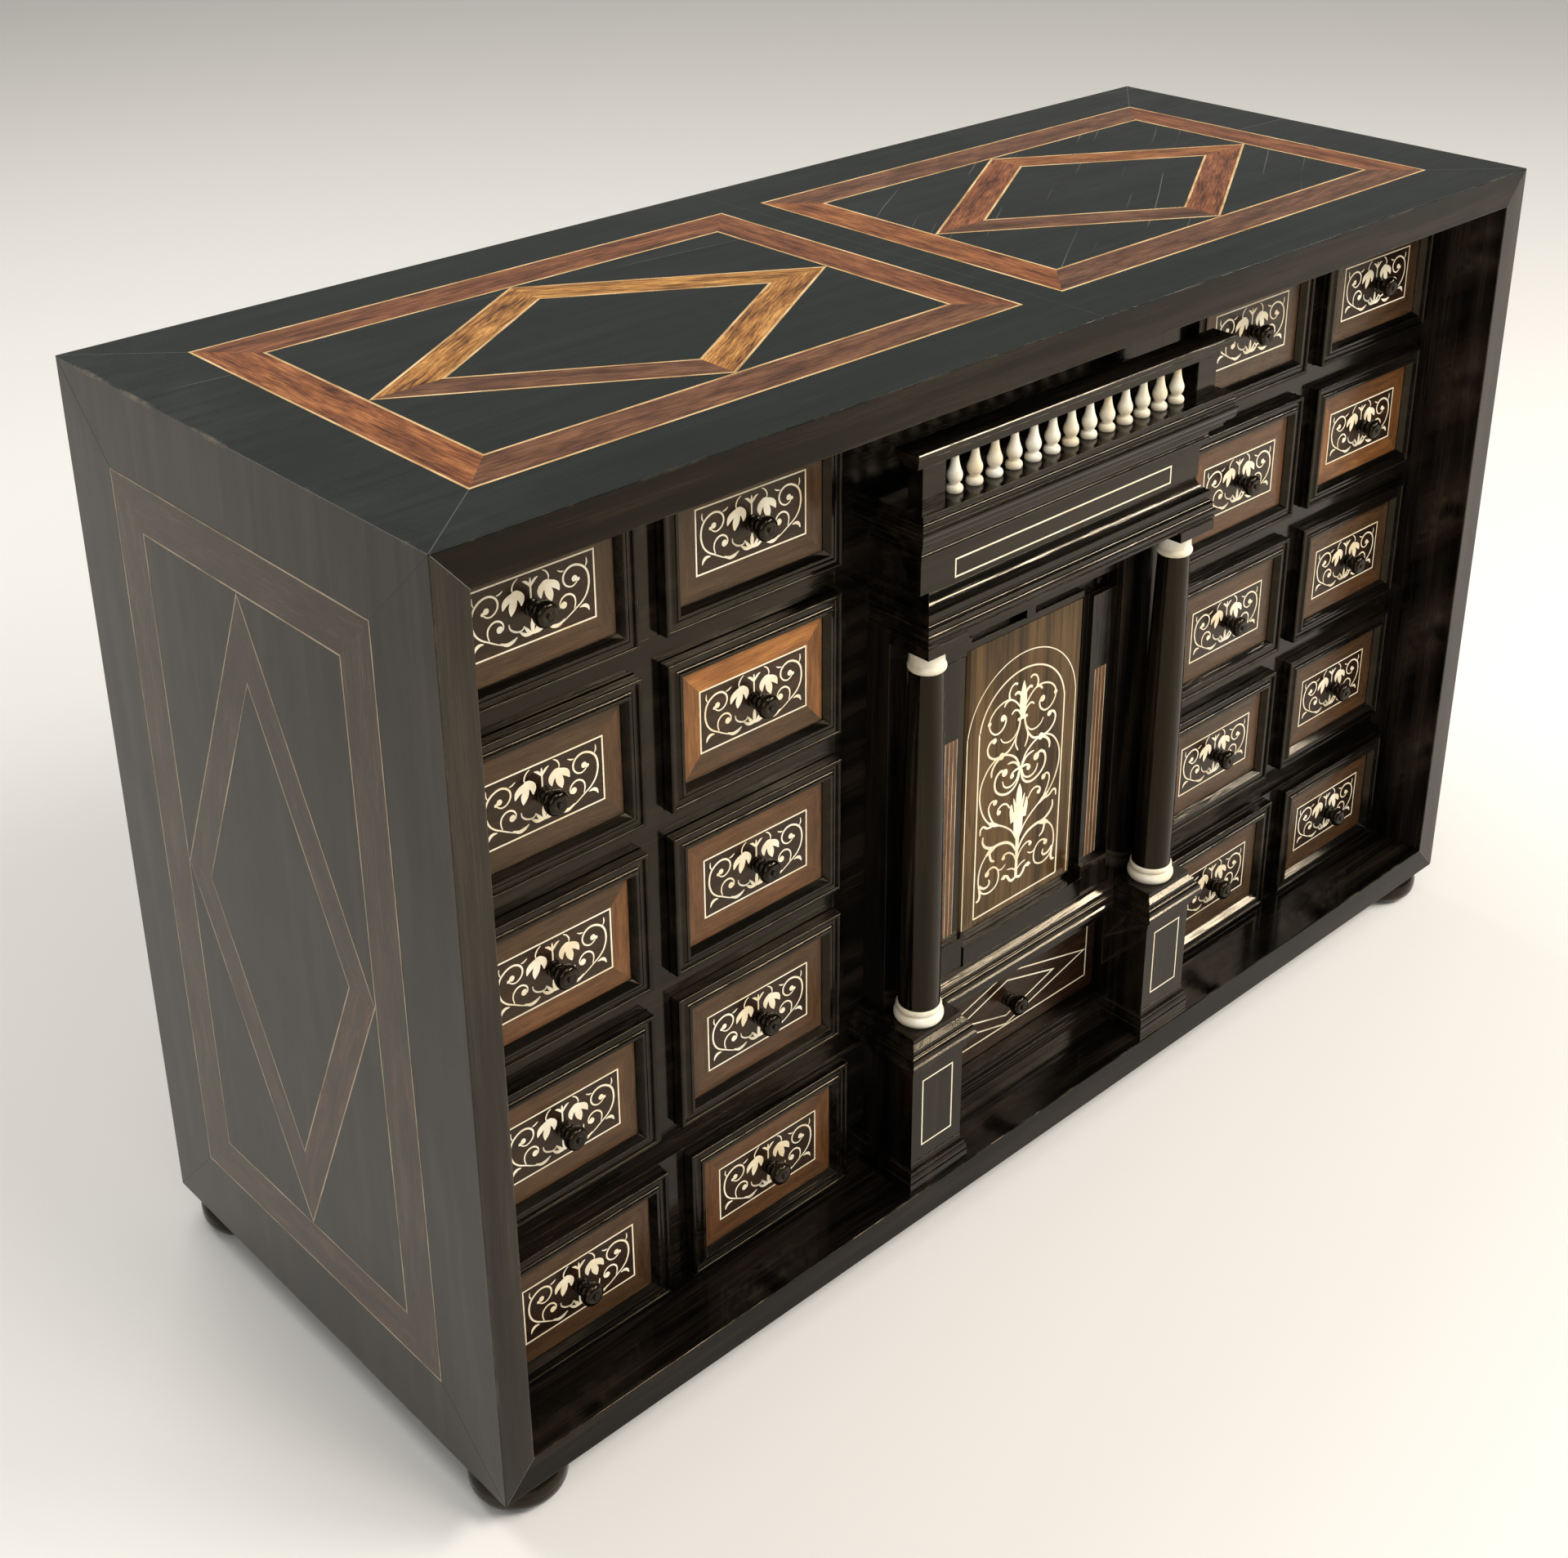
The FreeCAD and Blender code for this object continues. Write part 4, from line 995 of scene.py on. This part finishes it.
doorScroll = {
    "strokes": [
        ((2.1, 2.6, 3.8), [(0, 170.2), (0, 178.9), (0, 189.4), (0, 201.9)]),
        ((4.6, 8.5, 13.4), [(0, 200.9), (0, 208.2), (0, 214.4), (0, 221.3)]),
        ((6.5, 5.6, 0.5), [(0, 218.6), (0, 230.1), (0, 240.5)]),
        ((2.6, 2, 0.49), [(-2.6, 219.7), (-3.8, 225.9), (-5.2, 231.6)]),
        ((4.4, 3.6, 1.0), [(-5.2, 214.4), (-6.6, 220.7), (-7.3, 227.8)]),
        (thick, [(-8.6, 226.1), (-11.6, 230.1), (-15.5, 231.6), (-19.2, 230.1), (-20.2, 227.6), (-19, 225.5)]),
        ((1.8, 2, 1.1), [(0, 171.4), (-3.4, 169.9), (-6.4, 171.8), (-8.4, 175), (-11.8, 176.2), (-14, 175)]),
        (slim, [(-1.2, 176.8), (-4, 179.1), (-8.6, 180.2)]),
        (vine, [(-1, 184.7), (-3.4, 189.4), (-8, 192.7), (-12, 192.7), (-13.6, 190.8)]),
        ((1.6, 2, 1.1), [
            (-1, 191.5), (-4.6, 197.1), (-10, 201.3), (-17, 203.2), (-24, 203.4), (-30, 206.3), (-33.2, 210.7),
            (-33, 214.9),
        ]),
        (vine, [
            (-26, 202.3), (-32.4, 196.7), (-35.8, 188.8), (-35.6, 178.9), (-31.6, 172.7), (-25, 170.8),
            (-19, 173.3), (-16.8, 178.9), (-18.2, 185), (-22.4, 188.3), (-27, 187.5), (-28.6, 184.2),
        ]),
        (slim, [(-18.4, 185.2), (-16.4, 183.5), (-13.4, 183.3), (-10.6, 185.2)]),
        ((2.1, 1.5, 0.82), [(-35, 179.4), (-31, 176.2), (-27, 176), (-25.4, 178.3), (-26.2, 180.6)]),
        ((2.1, 2, 0.98), [(-34.8, 176.8), (-34.2, 172.7), (-35.2, 169.3), (-37.6, 168.7)]),
        ((2.6, 1.8, 0.82), [(-26.4, 201.9), (-25.8, 197.7), (-24.4, 194.2), (-21.4, 192.3)]),
        ((1.1, 3.6, 1.1), [(-19.6, 203.2), (-25.5, 201.7), (-30, 199.6)]),
        (vine, [
            (-2.6, 202.9), (-6.4, 208.6), (-13, 214.2), (-20, 218.4), (-26, 221.3), (-31.6, 227.4), (-35.8, 235.7),
            (-37.6, 245.3), (-36.2, 254.1), (-31.4, 262), (-25.4, 266.4), (-18.4, 267.7), (-11.4, 265.8),
            (-5, 261.2), (-1.8, 255.6),
        ]),
        ((1.3, 3, 1.3), [(-19, 217.8), (-24, 220.5), (-28.4, 223.2)]),
        (thick, [
            (-23.4, 221.1), (-26.6, 226.3), (-28.8, 232.8), (-27.6, 236.8), (-24.6, 237.8), (-22.2, 235.5),
        ]),
        ((1.5, 1.6, 0.98), [(-25, 219.7), (-29.4, 220.1), (-33, 222.6), (-35.6, 221.3), (-36, 217.4)]),
        (bold, [
            (-1.6, 256.2), (-0.8, 249.9), (-2.2, 243.7), (-6, 239.5), (-11.6, 238), (-18, 239.9), (-22.6, 244.1),
            (-24, 249.5), (-22.4, 254.5), (-18.6, 256.8), (-15.2, 255.1),
        ]),
        ((1.6, 1.3, 0.82), [
            (-1.4, 249.9), (-3, 245.5), (-6.6, 242.6), (-11.2, 242.2), (-15, 244.5), (-16.6, 248.7),
        ]),
        ((2.1, 1.6, 1.1), [(-0.6, 252.2), (-4.6, 252.2), (-7.8, 250.8), (-8.6, 247.8)]),
        ((1.5, 1.4, 0.74), [(-1.6, 253.7), (-5, 257.7), (-8.6, 259.3), (-12.4, 259.5)]),
        ((2, 1.8, 1.1), [(-20, 267.1), (-24.8, 263.7), (-27.2, 259.7), (-27.2, 255.8)]),
        ((1.6, 1.4, 1.8), [
            (-18.4, 267.7), (-24.6, 268.1), (-29.8, 271.6), (-31.8, 276.7), (-30.2, 280.8), (-27, 282.3),
        ]),
        ((1.5, 1.4, 1.8), [
            (-18.4, 267.7), (-12, 268.9), (-7.2, 273.3), (-4, 279.2), (-2.5, 284.4), (-2.2, 288.6),
        ]),
        (slim, [(-2.8, 284.4), (-4.4, 280.2), (-8.6, 276.2), (-13.4, 275.6), (-17.6, 277.3), (-20, 280.6)]),
        ((1.6, 1.2, 0.74), [(-5.4, 276.4), (-5.6, 271.2), (-3.2, 266)]),
        ((2.1, 2.1, 2.1), [(-4.6, 288.1), (0, 288.1), (4.6, 288.1)]),
        ((4.4, 6.6, 0.5), [(0, 288.6), (0, 295.9), (0, 304.2), (0, 314)]),
        ((1.1, 2, 1.5), [(-1.6, 303.2), (-3.4, 306.5), (-6.2, 307.8), (-8.2, 306.7)]),
        ((2, 1.3, 1.1), [(-1.6, 291.5), (-4.6, 294.8), (-7.8, 295.9), (-10.4, 294)]),
        (vine, [
            (-2, 295.7), (-7, 301.7), (-12.5, 305.2), (-18.6, 305.4), (-25, 303.2), (-29.6, 299), (-31, 294.2),
            (-29.6, 289.6), (-25.6, 285.8), (-21, 285.4), (-17, 288.3), (-15.6, 292.5), (-17, 295.4),
        ]),
        ((2, 1.6, 1.2), [(-12, 305.3), (-15.4, 304.6), (-17.8, 301.9)]),
        ((1.8, 1.2, 1.6), [(-12.8, 305.5), (-13.4, 309.4), (-11.6, 313.4), (-8.4, 314.9), (-6, 313.8)]),
    ],
    "discs": [
        (2, (-28, 185.4)),
        (1.6, (-18.6, 227)),
        (1.6, (-12.8, 190.8)),
        (2, (-22.9, 236.1)),
        (2.7, (-14.8, 254.3)),
        (1.9, (-7.8, 249.1)),
        (2.5, (-18.4, 267.5)),
        (2, (-25.6, 281.2)),
        (2.3, (-18.4, 294.6)),
        (1.6, (-30.8, 294.8)),
        (1.7, (-11.6, 175.7)),
        (1.7, (0, 251.6)),
    ],
}


def arch(bm, look, foot):
    half, spring = look["half"], doorLook["spring"]
    points = [(half, foot), (half, (foot + spring) / 2)]
    for step in range(doorLook["steps"] + 1):
        angle = math.pi * step / doorLook["steps"]
        points.append((half * math.cos(angle), spring + look["rise"] * math.sin(angle)))
    points += [(-half, (foot + spring) / 2), (-half, foot)]
    ribbon(bm, points, (look["line"],) * 3, stand["line"], 2)


def inlayPortico():
    chance = random.Random(porticoSeed)
    plinth, ground = flatMesh(), flatMesh()
    layGrain(ground, [rectangle(ground, (0, 0), plinthLook["field"], stand["ground"])], chance)
    edging(plinth, plinthLook)
    inside = [size - plinthLook["line"] for size in plinthLook["half"]]
    hollow(plinth, lozenge(plinth, (0, 0), inside, stand["line"] + stand["lap"]), plinthLook["line"])
    hollow(plinth, lozenge(plinth, (0, 0), plinthLook["inner"], stand["line"]), plinthLook["line"])
    place = faceFront(plinthLook["depth"], *plinthLook["centre"])
    finishFlat(ground, "plinth_drawer_field", place, "plinth_drawer", "palisanderDark")
    finishFlat(plinth, "plinth_drawer_inlay", place, "plinth_drawer", "boneInlay")

    pedestals = flatMesh()
    for side in (1, -1):
        edging(pedestals, pedestalLook, (side * pedestalLook["x"], pedestalLook["level"]))
    finishFlat(pedestals, "pedestal_inlay", faceFront(pedestalLook["depth"]), "cabinet", "boneInlay")

    frieze = flatMesh()
    edging(frieze, friezeLook, (0, friezeLook["level"]))
    finishFlat(frieze, "frieze_inlay", faceFront(friezeLook["depth"]), "cabinet", "boneInlay")

    pilasters, strips = flatMesh(), flatMesh()
    for side in (1, -1):
        centre = (side * pilasterLook["x"], pilasterLook["level"])
        strip = rectangle(strips, centre, pilasterLook["half"], stand["ground"])
        layGrain(strips, [strip], chance, [pilasterLook["tone"]] * 4)
        for flute in pilasterLook["flutes"]:
            low = (centre[0] + flute, centre[1] - pilasterLook["half"][1])
            high = (low[0], centre[1] + pilasterLook["half"][1])
            line(pilasters, low, high, pilasterLook["line"], stand["line"] + stand["lap"])
        layGrain(pilasters, [face for face in pilasters.faces if face.calc_center_median().x * side > 0], chance)
    place = faceFront(pilasterLook["depth"])
    finishFlat(strips, "pilaster_strips", place, "cabinet", "palisanderDrawer")
    finishFlat(pilasters, "pilaster_stringing", place, "cabinet", "stringingSide")

    door = flatMesh()
    inner, sill = doorLook["inner"], doorLook["sill"]
    arch(door, doorLook["outer"], doorLook["foot"])
    arch(door, inner, sill)
    line(door, (-inner["half"], sill), (inner["half"], sill), inner["line"], stand["line"] + stand["lap"])
    scrollwork(door, doorScroll)
    finishFlat(door, "door_inlay", faceFront(doorLook["depth"]), "door", "boneInlay")


inlayPortico()
print("portico inlaid")


nodeFinish = {
    "bun_feet": "ebonyAcross",
    "facade_rails": "ebonyAcross",
    "pedestals": "ebonyUpright",
    "plinth_mouldings": "ebonyAcross",
    "column_shafts": "ebonyUpright",
    "column_rings": "bone",
    "portico_frame": "ebonyUpright",
    "entablature": "ebonyAcross",
    "balusters": "bone",
    "balustrade_rail": "ebonyAcross",
    "door_niche": "pineUpright",
    "door": "rosewood",
    "plinth_drawer_front": "ebonyAcross",
}
for name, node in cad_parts.items():
    finish = nodeFinish.get(name, "carcass")
    if name.startswith("drawer_front"):
        finish = "ebonyAcross"
    elif "box" in name:
        finish = "pineDeep"
    node.data.materials.clear()
    node.data.materials.append(materials[finish])
print("finishes laid on")


stageLook = {
    "floor": 30.0,
    "floorColour": (0.75, 0.73, 0.69, 1),
    "floorRough": 0.6,
    "world": (1.0, 0.98, 0.95, 1),
    "worldLight": 0.22,
    "worldSeen": 0.75,
}
lights = {
    "strip": {"place": (2.0, -2.1, 2.1), "size": (2.4, 0.22), "power": 105.0, "colour": (1.0, 0.96, 0.9)},
    "front": {"place": (0.2, -2.2, 3.0), "size": (0.9, 0.9), "power": 40.0, "colour": (1.0, 0.95, 0.88)},
    "fill": {"place": (-2.6, -2.4, 1.7), "size": (2.0, 2.0), "power": 26.0, "colour": (0.96, 0.98, 1.0)},
    "over": {"place": (-0.4, 1.8, 3.0), "size": (2.4, 2.4), "power": 60.0, "colour": (1.0, 0.99, 0.97)},
}
daylight = {"strength": 0.7, "angle": 1.2, "turn": (0.35, -0.25, 0)}
lightTarget = Vector((0, 0, 0.3))


def setStage():
    mesh = bpy.data.meshes.new("floor")
    bm = bmesh.new()
    bmesh.ops.create_grid(bm, x_segments=1, y_segments=1, size=stageLook["floor"])
    bm.to_mesh(mesh)
    bm.free()
    floor = bpy.data.objects.new("floor", mesh)
    bpy.context.scene.collection.objects.link(floor)
    material, tree, shader = startMaterial("pale floor")
    shader.inputs["Base Color"].default_value = stageLook["floorColour"]
    shader.inputs["Roughness"].default_value = stageLook["floorRough"]
    mesh.materials.append(material)

    # the camera sees a paler background than the one that lights the cabinet
    world = bpy.data.worlds.new("studio")
    world.use_nodes = True
    tree = world.node_tree
    seen = addNode(tree, "LightPath").outputs["Is Camera Ray"]
    background = tree.nodes["Background"]
    background.inputs["Color"].default_value = stageLook["world"]
    strength = mapRange(tree, seen, 0.0, 1.0, stageLook["worldLight"], stageLook["worldSeen"])
    tree.links.new(strength, background.inputs["Strength"])
    bpy.context.scene.world = world

    for name, look in lights.items():
        data = bpy.data.lights.new(name, "AREA")
        data.shape = "ELLIPSE"
        data.size, data.size_y = look["size"]
        data.energy = look["power"]
        data.color = look["colour"]
        lamp = bpy.data.objects.new(name, data)
        lamp.location = look["place"]
        lamp.rotation_euler = (lightTarget - lamp.location).to_track_quat("-Z", "Y").to_euler()
        bpy.context.scene.collection.objects.link(lamp)
    data = bpy.data.lights.new("daylight", "SUN")
    data.energy = daylight["strength"]
    data.angle = daylight["angle"]
    lamp = bpy.data.objects.new("daylight", data)
    lamp.rotation_euler = daylight["turn"]
    bpy.context.scene.collection.objects.link(lamp)


cameraLook = {
    "sensor": 36.0,
    "lens": 49.762,
    "shift": -0.1563,
    "place": (-0.9064, -0.8885, 0.9728),
    "turn": (65.4798, 0.346, -42.9906),
}


def setCamera():
    data = bpy.data.cameras.new("camera")
    data.sensor_width = cameraLook["sensor"]
    data.lens = cameraLook["lens"]
    data.shift_y = cameraLook["shift"]
    camera = bpy.data.objects.new("camera", data)
    camera.location = cameraLook["place"]
    camera.rotation_euler = Euler([math.radians(angle) for angle in cameraLook["turn"]])
    bpy.context.scene.collection.objects.link(camera)
    bpy.context.scene.camera = camera


setStage()
setCamera()
bpy.context.scene.view_settings.view_transform = "Standard"

print("stage set")
